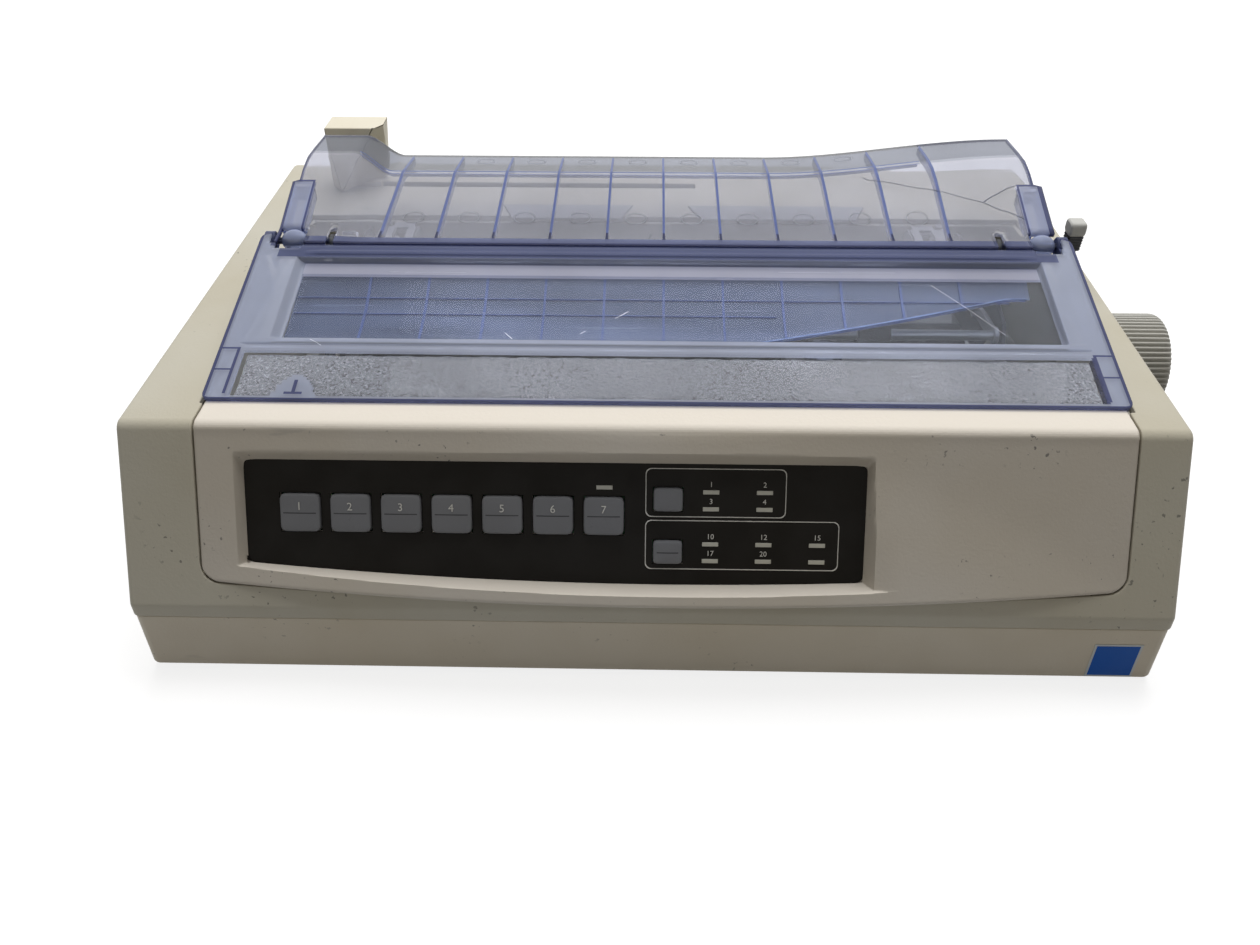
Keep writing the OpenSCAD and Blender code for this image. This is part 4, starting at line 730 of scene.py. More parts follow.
def case_columns(edge):
    """The x of each column, and how far it is drawn in on a quarter circle at both cheeks."""
    curl = FASCIA_CORNER * (1 - np.cos(np.linspace(0, math.pi / 2, 7)))
    stops = [-HALF_W + edge, HALF_W - edge, *(FASCIA_L - FASCIA_GAP + curl), *(FASCIA_R + FASCIA_GAP - curl)]
    stops += [x for opening in DECK_OPENINGS for x in opening[:2]]
    stops += [x + s for x in VENT_X for s in (0, VENT_W)]
    stops += [x + s * half for x, half, _ in SOCKETS for s in (-1, 1)]
    inner = spread(stops, 12)
    turn = np.linspace(0, math.pi / 2, 6)
    x = np.concatenate([(-HALF_W + edge - edge * np.sin(turn))[:0:-1], inner,
                        (HALF_W - edge + edge * np.sin(turn))[1:]])
    drawn = edge - edge * np.cos(turn)
    return x, np.concatenate([drawn[:0:-1], 0 * inner, drawn[1:]])


def case_holes(points, fascia_row):
    """True for the cells in an opening. The fascia's opening begins at the row given."""
    middle = cell_middle(points)
    x, y, z = middle[..., 0], middle[..., 1], middle[..., 2]
    row = np.arange(len(points) - 1)[:, None]
    hole = (row >= fascia_row) & (y < FASCIA_BACK + FASCIA_GAP)
    hole &= between(x, FASCIA_L - FASCIA_GAP, FASCIA_R + FASCIA_GAP)
    for x0, x1, y0, y1 in DECK_OPENINGS:
        hole |= between(x, x0, x1) & between(y, y0, y1) & (z > TOP_Z - 1)
    for vent in VENT_X:
        hole |= between(x, vent, vent + VENT_W) & between(y, *VENT_Y) & (z > REAR_Z)
    for middle_x, half_w, half_h in SOCKETS:
        hole |= (abs(x - middle_x) < half_w) & (abs(z - PORT_Z) < half_h) & (y > DEPTH - 1)
    return hole


def well_walls(wall):
    """Patches: the left, right and rear wall of the well, which hang from the case's top."""
    z = np.linspace(WELL_Z, TOP_Z - wall, 4)
    y, z = np.meshgrid(np.linspace(WELL_Y, DECK_Y, 8), z, indexing="ij")
    sides = [grid(np.stack([0 * y + x, y, z], -1), flip=x == WELL_R) for x in (WELL_L, WELL_R)]
    z = np.linspace(WELL_REAR_Z, TOP_Z - wall, 3)
    x, z = np.meshgrid(np.linspace(WELL_L, WELL_R, 12), z, indexing="ij")
    return [*sides, grid(np.stack([x, 0 * x + DECK_Y, z], -1))]


def upper_case_patches(edge, wall):
    """The upper case's outer skin with its openings and its two cheeks, and the well's walls.

    Every column is the case's profile, moved inwards along its normals near the cheeks. Rows on
    the front follow the fascia's lower edge.
    """
    radius, steps = 4, 3
    band, band_n = (part[:-1] for part in rounded_path(
        [[0, UPPER_Z], [0, BAND_Z], [TOP_Y, TOP_Z]], [0, radius, 0], steps))
    path, path_n = case_profile()
    x, inset = case_columns(edge)
    low = fascia_low(np.clip(x, FASCIA_L - FASCIA_GAP, FASCIA_R + FASCIA_GAP), FASCIA_GAP)
    start = FACE_LENGTH - radius * math.tan(LEAN / 2)
    below = [start + (low - start) * t for t in (0.35, 0.7, 1)]
    above = [low + (TAN_TOP - low) * t for t in np.linspace(0, 1, 8)][1:-1]
    face_v = np.array(below + above)
    face = on_face(x, face_v, 0 * face_v)[..., 1:]
    face_n = np.tile([-math.cos(LEAN), math.sin(LEAN)], (*face_v.shape, 1))
    band, band_n, path, path_n = (np.repeat(part[:, None], len(x), 1)
                                  for part in (band, band_n, path, path_n))
    yz = np.concatenate([band, face, path]) - np.concatenate([band_n, face_n, path_n]) * inset[:, None]
    points = np.concatenate([np.broadcast_to(x[:, None], (*yz.shape[:2], 1)), yz], -1)
    skin = grid(points, ~case_holes(points, len(band) + len(below) - 1))
    cheek = np.arange(len(points)) * len(x)
    skin[1].append(cheek.tolist())
    skin[1].append((cheek + len(x) - 1)[::-1].tolist())
    return [skin, *well_walls(wall)]


def bulge(x, v):
    """How far the fascia's skin stands out of the front: a tilted barrel, eased into the flat.

    It rises by rise mm on the way down, less an arc that is crown mm high in the middle.
    """
    rise, crown = 7.4, 7.0
    half = (FASCIA_R - FASCIA_L) / 2 + 8
    barrel_r = (half ** 2 + crown ** 2) / (2 * crown)
    out = (v * rise / FASCIA_LOW - 0.4) - (x - FASCIA_MID) ** 2 / (2 * barrel_r)
    return soft_max(out, 0, 0.9) - 0.25


# The panel lies at the height PANEL_N of the front, and its keys between the two levels of
# PANEL_SPLIT. RECESS_SLOPES are how far each side of the recess runs for 1 mm of height.
PANEL_L, PANEL_R, PANEL_TOP = -153.2, 81.3, 14.0
PANEL_N = -4.3
PANEL_T = 1.2
PANEL_SPLIT = (19.0, 53.4)
RECESS_SLOPES = (0.56, 0.42, 0.88, 0.16)
SKIN_LOW = -4.5
KEY_GAP = 0.28
TALL_KEYS = 7


def panel_low(x):
    """How far down the front the panel's lower edge lies at x, an arc that sags in the middle."""
    return 60.9 - (np.asarray(x, float) - FASCIA_MID) ** 2 / 3600


def recess(x, v):
    """The recess's height: flat at the panel and rising steeply from each of its four sides.

    Each side gives the height that its slope has at (x, v). They are joined with rounded corners.
    """
    ways = (PANEL_L - x, x - PANEL_R, PANEL_TOP - v, v - panel_low(x))
    height, *rest = (way / slope for way, slope in zip(ways, RECESS_SLOPES))
    for side in rest:
        height = soft_max(height, side, 1.6)
    return PANEL_N + height


def key_places():
    """Middle, width and height of each key from the CAD nodes' boxes, as x, v, w, h."""
    places = []
    for i in range(9):
        low, high = node_box(f"key_{i + 1}")
        v, h = (34.3, 14.6) if i < TALL_KEYS else ((27.7, 48.0)[i - TALL_KEYS], 9.0)
        places.append(((low[0] + high[0]) / 2, v, high[0] - low[0], h))
    return places


def in_key(x, v):
    """True where (x, v) lies in a key's hole."""
    inside = np.zeros(np.broadcast(x, v).shape, bool)
    for kx, kv, w, h in key_places():
        inside |= (abs(x - kx) < w / 2 + KEY_GAP) & (abs(v - kv) < h / 2 + KEY_GAP)
    return inside


def key_stops():
    """The x and v values of the sides of every key's hole."""
    places = key_places()
    return ([kx + s * (w / 2 + KEY_GAP) for kx, _, w, _ in places for s in (-1, 1)],
            [kv + s * (h / 2 + KEY_GAP) for _, kv, _, h in places for s in (-1, 1)])


def fascia_patches():
    """The fascia's skin: round the top edge, down the face over the bulge and into the recess.

    Rows down to the last key are level. Below it they follow the recess's lower side in the
    middle, and near the two ends they are shared out evenly. The last rows turn in under the lip.
    """
    stops_x, stops_v = key_stops()
    slope_l = PANEL_L + 0.6 - np.linspace(0, 3.9, 9)
    slope_r = PANEL_R - 0.6 + np.linspace(0, 3.5, 8)
    corner = np.linspace(1.6, 8, 6)
    round_r = 1.2
    turn = np.linspace(0, math.pi / 2, 5)
    inner = spread([FASCIA_L + round_r, FASCIA_R - round_r, *(FASCIA_L + corner),
                    *(FASCIA_R - corner), *stops_x, *slope_l, *slope_r], 5)
    x = np.concatenate([[FASCIA_L], (FASCIA_L + round_r - round_r * np.sin(turn))[:0:-1], inner,
                        (FASCIA_R - round_r + round_r * np.sin(turn))[1:], [FASCIA_R]])
    fall = round_r * np.cos(turn) - round_r
    drop = np.concatenate([[SKIN_LOW], fall[:0:-1], 0 * inner, fall[1:], [SKIN_LOW]])
    low = fascia_low(x)
    last = PANEL_SPLIT[1]
    lip = np.minimum(round_r, 0.6 * (low - last))
    floor = np.maximum(panel_low(x), last + 0.5)
    fixed = spread([TAN_TOP, *np.linspace(PANEL_TOP - 5.0, PANEL_TOP + 0.8, 12), *stops_v, last], 4)
    climb = 2.8
    inner_rows = [last + (floor - 0.4 - last) * t for t in (0.5, 1)]
    inner_rows += [floor + t for t in np.linspace(-0.2, climb, 16)]
    inner_rows += [floor + climb + (low - lip - floor - climb) * t for t in (0.4, 0.8, 1)]
    share = np.linspace(0, 1, len(inner_rows) + 1)[1:, None]
    even = last + (low - lip - last) * share
    inward = smooth((np.minimum(x - FASCIA_L, FASCIA_R - x) - 3) / 8)
    v = np.concatenate([[0 * x + row for row in fixed], even + (np.array(inner_rows) - even) * inward])
    n = np.minimum(bulge(x, v), np.maximum(recess(x, v), PANEL_N - PANEL_T - 0.05)) + drop
    lip_v = np.array([low - lip + lip * math.sin(a) for a in turn[1:]] + [low])
    lip_base = (bulge(x, low - lip) + drop)[None]
    lip_n = lip_base - np.array([lip - lip * math.cos(a) for a in turn[1:]] + [0 * lip])
    lip_n[-1] = -3.2
    all_v = np.concatenate([v, lip_v])
    face = on_face(x, all_v, np.concatenate([n, np.maximum(lip_n, SKIN_LOW)]))
    arc = np.linspace(math.pi / 2, math.pi - LEAN, 8)[:-1, None]
    out = EDGE_R + drop[None]
    cap = np.stack([x + 0 * arc, TOP_Y + TAN_TOP + out * np.cos(arc),
                    TOP_Z - EDGE_R + out * np.sin(arc)], -1)
    back = np.stack([np.stack([x, 0 * x + y, TOP_Z + drop], -1) for y in (FASCIA_BACK, 44.0, 40.0)])
    points = np.concatenate([back, cap, face])
    middle_x = opposite_middle(points[..., 0])
    holes = np.zeros(middle_x.shape, bool)
    first = len(back) + len(cap)
    holes[first:] = in_key(middle_x[first:], opposite_middle(all_v))
    return [grid(points, ~holes, flip=True)]


def panel_patches():
    """The black overlay: a flat plate to the recess's outline, with a hole round each key."""
    stops_x, stops_v = key_stops()
    r = 2.6
    curl = r * (1 - np.cos(np.linspace(0, math.pi / 2, 6)))
    left, right = PANEL_L + 0.05, PANEL_R - 0.05
    x = spread([*(left + curl), *(right - curl), *stops_x], 6)
    near = np.clip(np.minimum(x - left, right - x), 0, r)
    round_in = r - np.sqrt(r * r - (r - near) ** 2)
    high, low = PANEL_TOP + 0.05 + round_in, panel_low(x) - 0.05 - round_in
    first, last = PANEL_SPLIT
    rows = [high + (first - high) * t for t in (0, 0.5)]
    rows += [0 * x + v for v in spread([first, *stops_v, last], 5)]
    rows += [last + (low - last) * t for t in (0.5, 1)]
    v = np.array(rows)
    points = on_face(x, v, 0 * v + PANEL_N)
    middle = opposite_middle(v)
    hole = in_key((x[:-1] + x[1:]) / 2 + 0 * middle, middle)
    return [grid(points, ~hole, flip=True)]


def key_patches(kx, kv, w, h, top, divided):
    """A key cap: a rounded block with a pillowed top, and a thin dark line across it if divided.

    A section is the curve |u|^p + |t|^p = 1 scaled to the key. Towards the top each is drawn in
    on a quarter circle, and the top rises by pillow (1 - share^2) towards its middle.
    """
    a, p = circle(48), 9.0
    unit = (abs(np.cos(a)) ** p + abs(np.sin(a)) ** p) ** (-1 / p)
    ux, uv = unit * np.cos(a), unit * np.sin(a)
    edge, pillow = 0.9, 0.25

    def section(inset, share, n):
        return on_face(kx + ux * (w / 2 - inset) * share, kv + uv * (h / 2 - inset) * share, n)

    sections = [section(0, 1, n) for n in (PANEL_N - PANEL_T - 1.5, top - edge)]
    sections += [section(edge * (1 - math.cos(t)), 1, top - edge + edge * math.sin(t))
                 for t in np.linspace(0, math.pi / 2, 5)[1:]]
    sections += [section(edge, share, top + pillow * (1 - share ** 2)) for share in (0.8, 0.55, 0.3, 0.1)]
    patches = [loft(sections)]
    # A flat dark line drawn just above the top of a divided key.
    if divided:
        xs = np.linspace(kx - w / 2 + 1.4, kx + w / 2 - 1.4, 12)
        lift = top + pillow * (1 - ((xs - kx) / (w / 2 - edge)) ** 2) + 0.03
        strip = np.stack([on_face(xs, kv + dv, lift) for dv in (-0.22, 0.22)])
        patches.append((*grid(strip, flip=True), 1))
    return patches


# ---- Clear plastic ----


# The window's rim and its floor: x0, x1 and the two levels up the cover's slope.
WINDOW = (-153.0, 165.0, 33.5, 84.0)
WINDOW_FLOOR = (-149.0, 163.5, 37.0, 83.0)
WINDOW_DEPTH = 3.0
KNUCKLE_X = (SEP_L + 7, SEP_R - 5)
BRACKET_X = (WELL_MID - 147, WELL_MID + 145)
RIBS = [SEP_MID + (i - 5) * 25.0 for i in range(11)]
SHEET_T = 1.9

# Levels are measured up the cover's slope, and BOX_LINE from its sides. NOTCH is the half width
# and the depth of the notch round a knuckle. FRONT_ZONE lies over the foam.
FRONT_ZONE = (COVER_L + 10, COVER_R - 8, 2.0, 26.6)
GROOVE = 30.4
BEAD, BEAD_EDGE = (85.2, 88.2), 0.7
ROLL = 2.4
CUT_EDGE = 1.3
CORNER_W = 4.2
NOTCH = (5.8, 3.6)
BOX_LINE = (7.4, 8.6)
BOX_LEVELS = ((15.5, 16.4), (27.2, 28.2))
BOX_FRONT = 3.0
TAB = (COVER_L + 31.0, COVER_L + 38.0)
TAB_STEM = (COVER_L + 33.8, COVER_L + 35.2)
TAB_MID = COVER_L + 34.5
TAB_LEVELS = (4.2, 10.5)
PALE_LEVEL, BAND_LEVEL, REAR_LEVEL = 76.2, 84.0, 91.2


def cover_height(x, s):
    """Height of the cover's top: 0, with a sink for the window and low steps round it.

    The sink has sloping sides. A bead runs across behind it, and the rear edge rolls down.
    """
    x0, x1, s0, s1 = WINDOW
    f0, f1, g0, g1 = WINDOW_FLOOR
    sink = np.minimum.reduce([(x - x0) / (f0 - x0), (x1 - x) / (x1 - f1),
                              (s - s0) / (g0 - s0), (s1 - s) / (s1 - g1)])
    out = abs(x - WELL_MID)
    bead = 0.5 * smooth((s - BEAD[0]) / BEAD_EDGE) * smooth((BEAD[1] - s) / BEAD_EDGE) * (out < 150)
    groove = 0.5 * np.exp(-((s - GROOVE) / 0.45) ** 2) * (out < 168)
    roll = 0.9 * smooth((s - COVER_LENGTH + ROLL) / ROLL) * (out < 160)
    return -WINDOW_DEPTH * smooth(sink) + bead - groove - roll


def rounded_corners(x, s):
    """s with both ends of the cover drawn in on quarter circles, 3 mm in front and 4.5 mm behind."""
    near = np.minimum(x - COVER_L, COVER_R - x)
    front, rear = (r - np.sqrt(r * r - (r - np.clip(near, 0, r)) ** 2) for r in (3.0, 4.5))
    s = np.where(s < 8, front + s * (8 - front) / 8, s)
    share = np.clip((s - COVER_LENGTH) / (CORNER_LENGTH - COVER_LENGTH), 0, 1)
    return s - share * rear


def cover_patches():
    """The cover's top sheet with its two rear corner strips, notched round the knuckles.

    Its cells are sorted into finishes: the cut edges with the outlines of the corner boxes and
    of the lift tab, the window, the front over the foam, the rear band and a pale strip.
    """
    x0, x1, s0, s1 = WINDOW
    f0, f1, g0, g1 = WINDOW_FLOOR
    sides = np.array([0, 0.3, 0.7, CUT_EDGE, 2, 3, CORNER_W, EAR_W, *BOX_LINE])
    x = spread([*(COVER_L + sides), *(COVER_R - sides), *np.linspace(x0, f0, 7), *np.linspace(f1, x1, 5),
                *FRONT_ZONE[:2], *TAB, *TAB_STEM, *np.linspace(TAB_MID - 8.5, TAB_MID + 8.5, 12),
                *(k + side * NOTCH[0] for k in KNUCKLE_X for side in (-1, 1))], 9)
    s = spread([0, 1.0, BOX_FRONT, *TAB_LEVELS, 5, 8, 12, 13.2, 14.4, *BOX_LEVELS[0], *BOX_LEVELS[1],
                *FRONT_ZONE[2:], *np.linspace(GROOVE - 1, GROOVE + 1, 7), *np.linspace(s0, g0, 7),
                PALE_LEVEL, *np.linspace(g1, s1, 5), *np.linspace(BEAD[0], BEAD[0] + BEAD_EDGE, 4),
                *np.linspace(BEAD[1] - BEAD_EDGE, BEAD[1], 4), COVER_LENGTH - NOTCH[1],
                *np.linspace(COVER_LENGTH - ROLL, COVER_LENGTH, 6), 95.5, 98, 99.2, CORNER_LENGTH], 6)
    ss, xx = np.meshgrid(s, x, indexing="ij")
    points = on_cover(xx, rounded_corners(xx, ss), cover_height(xx, ss))
    mx, ms = opposite_middle(xx), opposite_middle(ss)
    side = np.minimum(mx - COVER_L, COVER_R - mx)
    hole = (ms > COVER_LENGTH) & (side > CORNER_W)
    for k in KNUCKLE_X:
        hole |= (abs(mx - k) < NOTCH[0]) & (ms > COVER_LENGTH - NOTCH[1])
    dark = (side < CUT_EDGE) | (ms < 1) | (ms > CORNER_LENGTH - 1.2)
    dark |= between(side, *BOX_LINE) & between(ms, BOX_FRONT, BOX_LEVELS[1][1])
    for level in BOX_LEVELS:
        dark |= (side < BOX_LINE[1]) & between(ms, *level)
    dark |= between(mx, *TAB) & between(ms, BOX_FRONT, TAB_LEVELS[0])
    dark |= between(mx, *TAB_STEM) & between(ms, BOX_FRONT, TAB_LEVELS[1])
    pane = between(mx, f0, f1) & between(ms, g0, g1) & ~dark
    pale = pane & (ms > PALE_LEVEL)
    front = between(mx, *FRONT_ZONE[:2]) & between(ms, *FRONT_ZONE[2:])
    front &= np.hypot((mx - TAB_MID) / 7.8, (ms - 2.6) / 10.5) > 1
    band = (ms > BAND_LEVEL) & between(mx, COVER_L + 12, COVER_R - 11)
    band |= (ms > REAR_LEVEL) & (side > EAR_W)
    rest = ~(hole | dark | pane | front | band)
    return sort_cells(points, rest, dark & ~hole, pane & ~pale, front, band & ~hole, pale)


def cover_trim_patches():
    """Under the cover: side skirts, corner boxes, the lift tab, a rear rail and the hinge ears."""
    patches = []
    skirt, ear_w = 1.2, 4.6
    for x in (COVER_L, COVER_R - skirt):
        top = on_cover(x, np.linspace(3.2, CORNER_LENGTH - 5, 12), -SHEET_T)
        low = top.copy()
        low[:, 2] = np.minimum(TOP_Z - 2.9, top[:, 2])
        ring = np.stack([top, low, low + [skirt, 0, 0], top + [skirt, 0, 0]], 1)
        patches.append((*loft(ring), 0))

    def under(x0, x1, s0, s1, h0, index):
        corners = [on_cover(x, s, h) for x in (x0, x1) for s in (s0, s1) for h in (h0, -SHEET_T)]
        patches.append((np.array(corners), BOX_FACES, index))

    for x in (COVER_L + BOX_LINE[0], COVER_R - BOX_LINE[1]):
        under(x, x + 0.9, BOX_FRONT, 28, -5, 1)
    under(*TAB, BOX_FRONT, TAB_LEVELS[0], -6, 1)
    under(*TAB_STEM, *TAB_LEVELS, -6, 1)
    under(COVER_L + 12, COVER_R - 12, 89.4, 90.4, -3.6, 2)
    for x in (COVER_L + EAR_W + 2, COVER_R - EAR_W - 3.2):
        under(x, x + 1.2, BAND_LEVEL, COVER_LENGTH - 1, -7, 2)
    for x in (COVER_L + 0.3, COVER_R - 0.3 - ear_w):
        ring_x = [x + dx for dx in (0, 0.4, ear_w - 0.4, ear_w)]
        patches.append((*turned(ring_x, [3.7, 4.2, 4.2, 3.7], (HINGE_Y, HINGE_Z), circle(32)), 2))
        patches.append((*block([x, HINGE_Y - 9, HINGE_Z - 3], [x + 4.4, HINGE_Y - 1, HINGE_Z + 1]), 2))
    return patches


SHIELD_L, SHIELD_BEND, SHIELD_R = -151.0, 45.0, 159.0
SHIELD_Y, SHIELD_Z = 131.0, HINGE_Z - 2.4
SHIELD_RUN, SHIELD_FALL, SHIELD_SAG = 42.0, 14.6, 2.4


def shield_point(x, t):
    """A point of the paper shield under the window: t is 0 at its upper edge and 1 at its lower.

    Between them it sags by SHIELD_SAG times sin(pi t).
    """
    y = SHIELD_Y - SHIELD_RUN * t
    z = SHIELD_Z - SHIELD_FALL * t - SHIELD_SAG * np.sin(math.pi * t)
    return np.stack(np.broadcast_arrays(x, y, z), -1)


def shield_reach(x):
    """How far down the shield reaches at x: 1, and less along a line right of the bend."""
    return 1 - 0.62 * np.clip((x - SHIELD_BEND) / 104, 0, 1)


def shield_patches():
    """The paper shield that hangs under the window, with ribs, three rails and a pale lower edge. Ribs,
    rails and edge are blue plastic painted paler: painted highlights.
    """
    x = spread([SHIELD_L, SHIELD_BEND, SHIELD_R, *RIBS], 5)
    uu, xx = np.meshgrid(np.linspace(0, 1, 22), x, indexing="ij")
    patches = [(*grid(shield_point(xx, uu * shield_reach(xx)), flip=True), 0)]

    def strip(line, size, index):
        step = np.gradient(line, axis=0)
        across = np.cross(step / np.linalg.norm(step, axis=1, keepdims=True), [0, 0.33, 1.0])
        across /= np.linalg.norm(across, axis=1, keepdims=True)
        up = np.array([0, -0.3, 0.95])
        wide, tall = size
        ring = np.stack([line + across * a + up * b for a, b in
                         ((-wide, -tall), (wide, -tall), (wide, tall), (-wide, tall))], 1)
        patches.append((*loft(ring), index))

    # Painted highlights: the ribs and rails take the paler rib finish for the light they catch.
    for rib in RIBS:
        if SHIELD_L + 1 < rib < SHIELD_R - 1:
            strip(shield_point(rib, np.linspace(0.01, shield_reach(rib), 12)), (0.5, 0.9), 1)
    for t, end, tall in ((0.02, SHIELD_R - 1, 0.8), (0.42, 150, 0.5), (0.62, 52, 0.4)):
        strip(shield_point(np.linspace(SHIELD_L + 1, end, 50), t), (0.6, tall), 1)
    # Painted highlight: the lower edge's pale blue finish stands for the bright line of light along it, on
    # blue plastic.
    edge_x = np.linspace(SHIELD_BEND, SHIELD_R - 2, 40)
    strip(shield_point(edge_x, shield_reach(edge_x)), (0.9, 0.9), 2)
    return patches


# Levels of the separator are measured back from its front edge.
SEP_STEP, SEP_RIDGE, SEP_DEPTH = 39.0, 65.0, 95.8
CORNER_RISE = 15.7
SEP_FRONT, SEP_NOTCH = 4.6, (6.0, 10.6)
BRACKET = (-0.8, 2.8)
ARM_LINE = (9.4, 10.4)
RIDGE_X = (SEP_L + 26, SEP_MID + 120)


def side_weight(x):
    """0 in the middle of the separator, rising smoothly to 1 at its left and right sides.

    On the right it rises over 117 mm and on the left over 16 mm.
    """
    return smooth((x - SEP_MID - 50) / 117) + smooth((SEP_L + 40 - x) / 16)


def separator_rise(x, d):
    """Height of the separator at x and d behind its front edge.

    Between the flat middle's profile and the raised sides' profile, by side_weight.
    """
    w = side_weight(x)
    middle = np.interp(d, [0, 10, SEP_RIDGE - 1, SEP_RIDGE + 1, SEP_DEPTH], [0, 0.2, 5.6, 5.6, 1.7])
    side = np.interp(d, [0, 10, SEP_STEP, 48, SEP_RIDGE - 7.5, 70, SEP_DEPTH],
                     [0.2, 1.2, CORNER_RISE - 4.6, 14.0, CORNER_RISE, 15.4, CORNER_RISE - 1.4])
    return (1 - w) * middle + w * side


def separator_points(x, d, drop=0.0):
    """Points of the separator's sheet. Behind the step its sides are drawn in by 3 mm."""
    x, d = np.broadcast_arrays(np.asarray(x, float), np.asarray(d, float))
    pull, near = 3.0 * smooth((d - SEP_STEP) / 1.2), 0.965
    t = (x - SEP_MID) / ((SEP_R - SEP_L) / 2)
    drawn = np.where(abs(t) > near, x - np.sign(t) * pull * (abs(t) - near) / (1 - near), x)
    cut = 7 * side_weight(x) * smooth((d - SEP_RIDGE) / (SEP_DEPTH - SEP_RIDGE))
    return np.stack([drawn, SEP_Y + d - cut, SEP_Z + separator_rise(x, d) - drop], -1)


def separator_patches():
    """The separator's clear sheet, notched round the knuckles and slotted for its brackets.

    Its cells are sorted into finishes: the cut edges with the outlines of both side arms, the
    front band, what lies behind the ridge, painted darker as painted shade, the arms, and the
    lines of the ribs and of the ridge.
    """
    cut, step = 1.2, (SEP_STEP, SEP_STEP + 1.2)
    sides = np.array([0, cut, *ARM_LINE])
    x = spread([*(SEP_L + sides), *(SEP_R - sides), *np.linspace(SEP_L + 22, SEP_L + 42, 15),
                *np.linspace(SEP_MID + 50, SEP_R - 4, 24), *(b + s for b in BRACKET_X for s in BRACKET),
                *(k + s * SEP_NOTCH[0] for k in KNUCKLE_X for s in (-1, 1)),
                *(r + s for r in RIBS for s in (-0.5, 0.5))], 6)
    d = spread([0, 0.7, 3.2, SEP_FRONT, SEP_NOTCH[1], *step, SEP_RIDGE - 7.5, SEP_RIDGE - 1,
                SEP_RIDGE, SEP_RIDGE + 1, SEP_DEPTH - 3, SEP_DEPTH - 0.7, SEP_DEPTH], 4)
    dd, xx = np.meshgrid(d, x, indexing="ij")
    mx, md = opposite_middle(xx), opposite_middle(dd)
    side = np.minimum(mx - SEP_L, SEP_R - mx)
    hole, rib = np.zeros((2, *mx.shape), bool)
    for b in BRACKET_X:
        hole |= between(mx - b, *BRACKET) & (md < SEP_NOTCH[1])
    for k in KNUCKLE_X:
        hole |= (abs(mx - k) < SEP_NOTCH[0]) & (md < SEP_NOTCH[1])
    for r in RIBS:
        rib |= (abs(mx - r) < 0.5) & (md < SEP_DEPTH - 3)
    rib |= between(md, SEP_RIDGE, SEP_RIDGE + 1) & between(mx, *RIDGE_X)
    dark = (side < cut) | (md < 0.7)
    dark |= (md > SEP_DEPTH - 0.7) & (side_weight(mx) > 0.7)
    dark |= between(side, *ARM_LINE) & between(md, SEP_FRONT, SEP_STEP)
    dark |= (side < ARM_LINE[1]) & between(md, *step)
    band = (md < SEP_FRONT) & ~dark
    arm = (side < ARM_LINE[0]) & (md < SEP_STEP) & ~(dark | band)
    rib_end = rib & (md < SEP_NOTCH[1]) & ~(dark | band)
    rib &= ~(dark | band | arm | rib_end)
    # Painted shade: behind the ridge the sheet takes a darker copy of its clear finish.
    back = (md > SEP_RIDGE) & ~(dark | rib)
    rest = ~(dark | band | back | arm | rib | rib_end)
    kinds = (kind & ~hole for kind in (rest, dark, band, back, arm, rib, rib_end))
    return sort_cells(separator_points(xx, dd), *kinds)


MARKS = [(x + 12.5, 22.5 - 4 * side_weight(x), 4.6) for x in RIBS[:-1]]
MARKS += [(x + 12.5, 84.0, 4.2) for x in RIBS[1:-2]]
CRACKS = [[(98, 54.5), (100, 52.9), (115.8, 44.7), (132.5, 37.2), (148, 29.4), (155.9, 24.2),
           (164.6, 19.3)], [(148, 29.4), (156.7, 35.9), (164, 39.4)]]
SCRATCHES = [[(117.2, 72.1), (130, 57.5), (143, 41.2)], [(-59.1, 40.8), (-56, 37.4)],
             [(-28.8, 40.7), (-26.5, 42.4)], [(-14.8, 50.0), (-9.5, 54.2)], [(-136, 33), (-131, 30)]]


def line_patch(points, width, index=0):
    """A flat line width wide along points, lying on a nearly level surface."""
    across = np.cross(np.gradient(points, axis=0), [0, 0, 1.0])
    across *= width / 2 / np.linalg.norm(across, axis=1, keepdims=True)
    up = np.array([0, 0, 0.03])
    ring = np.stack([points - across, points + across, points + across + up, points - across + up], 1)
    return (*loft(ring), index)


def along(corners, count):
    """The place along a broken line's corners, counted in corners, and its x and y there."""
    corners = np.array(corners)
    t = np.linspace(0, len(corners) - 1, count)
    return t, *(np.interp(t, range(len(corners)), corners[:, i]) for i in (0, 1))


def mark_patches():
    """Thin lines just above the separator: moulding rings, cracks and the slot in its ridge, whose dark line
    is painted shade.
    """
    patches = []
    a = np.linspace(0, 2 * math.pi, 37)
    for x, d, r in MARKS:
        ring = separator_points(x + r * np.cos(a), d + r * np.sin(a), -0.2)
        patches.append(line_patch(ring, 0.34))
    for crack in CRACKS:
        t, x, d = along(crack, 40)
        patches.append(line_patch(separator_points(x, d + 0.3 * np.sin(t * 5), -0.2), 0.5, 1))
    # Painted shade: the slot is a flat dark line, the shade of its opening painted on the sheet.
    slot = separator_points(np.linspace(SEP_L + 27, SEP_L + 37, 12), SEP_RIDGE - 0.6, -0.08)
    patches.append(line_patch(slot, 1.3, 1))
    return patches


def scratch_patches():
    """Scratches on the window: short pale lines just above it."""
    patches = []
    for scratch in SCRATCHES:
        _, x, s = along(scratch, 12)
        patches.append(line_patch(on_cover(x, s, cover_height(x, s) + 0.06), 0.22))
    return patches


def rib_patch(x, thick, height, d0, d1, index):
    """A wall under the separator that follows its sheet at x from d0 to d1."""
    top = separator_points(x, np.linspace(d0, d1, 22), SHEET_T)
    return hanging_wall(top - [thick / 2, 0, 0], height, [thick, 0, 0], index)


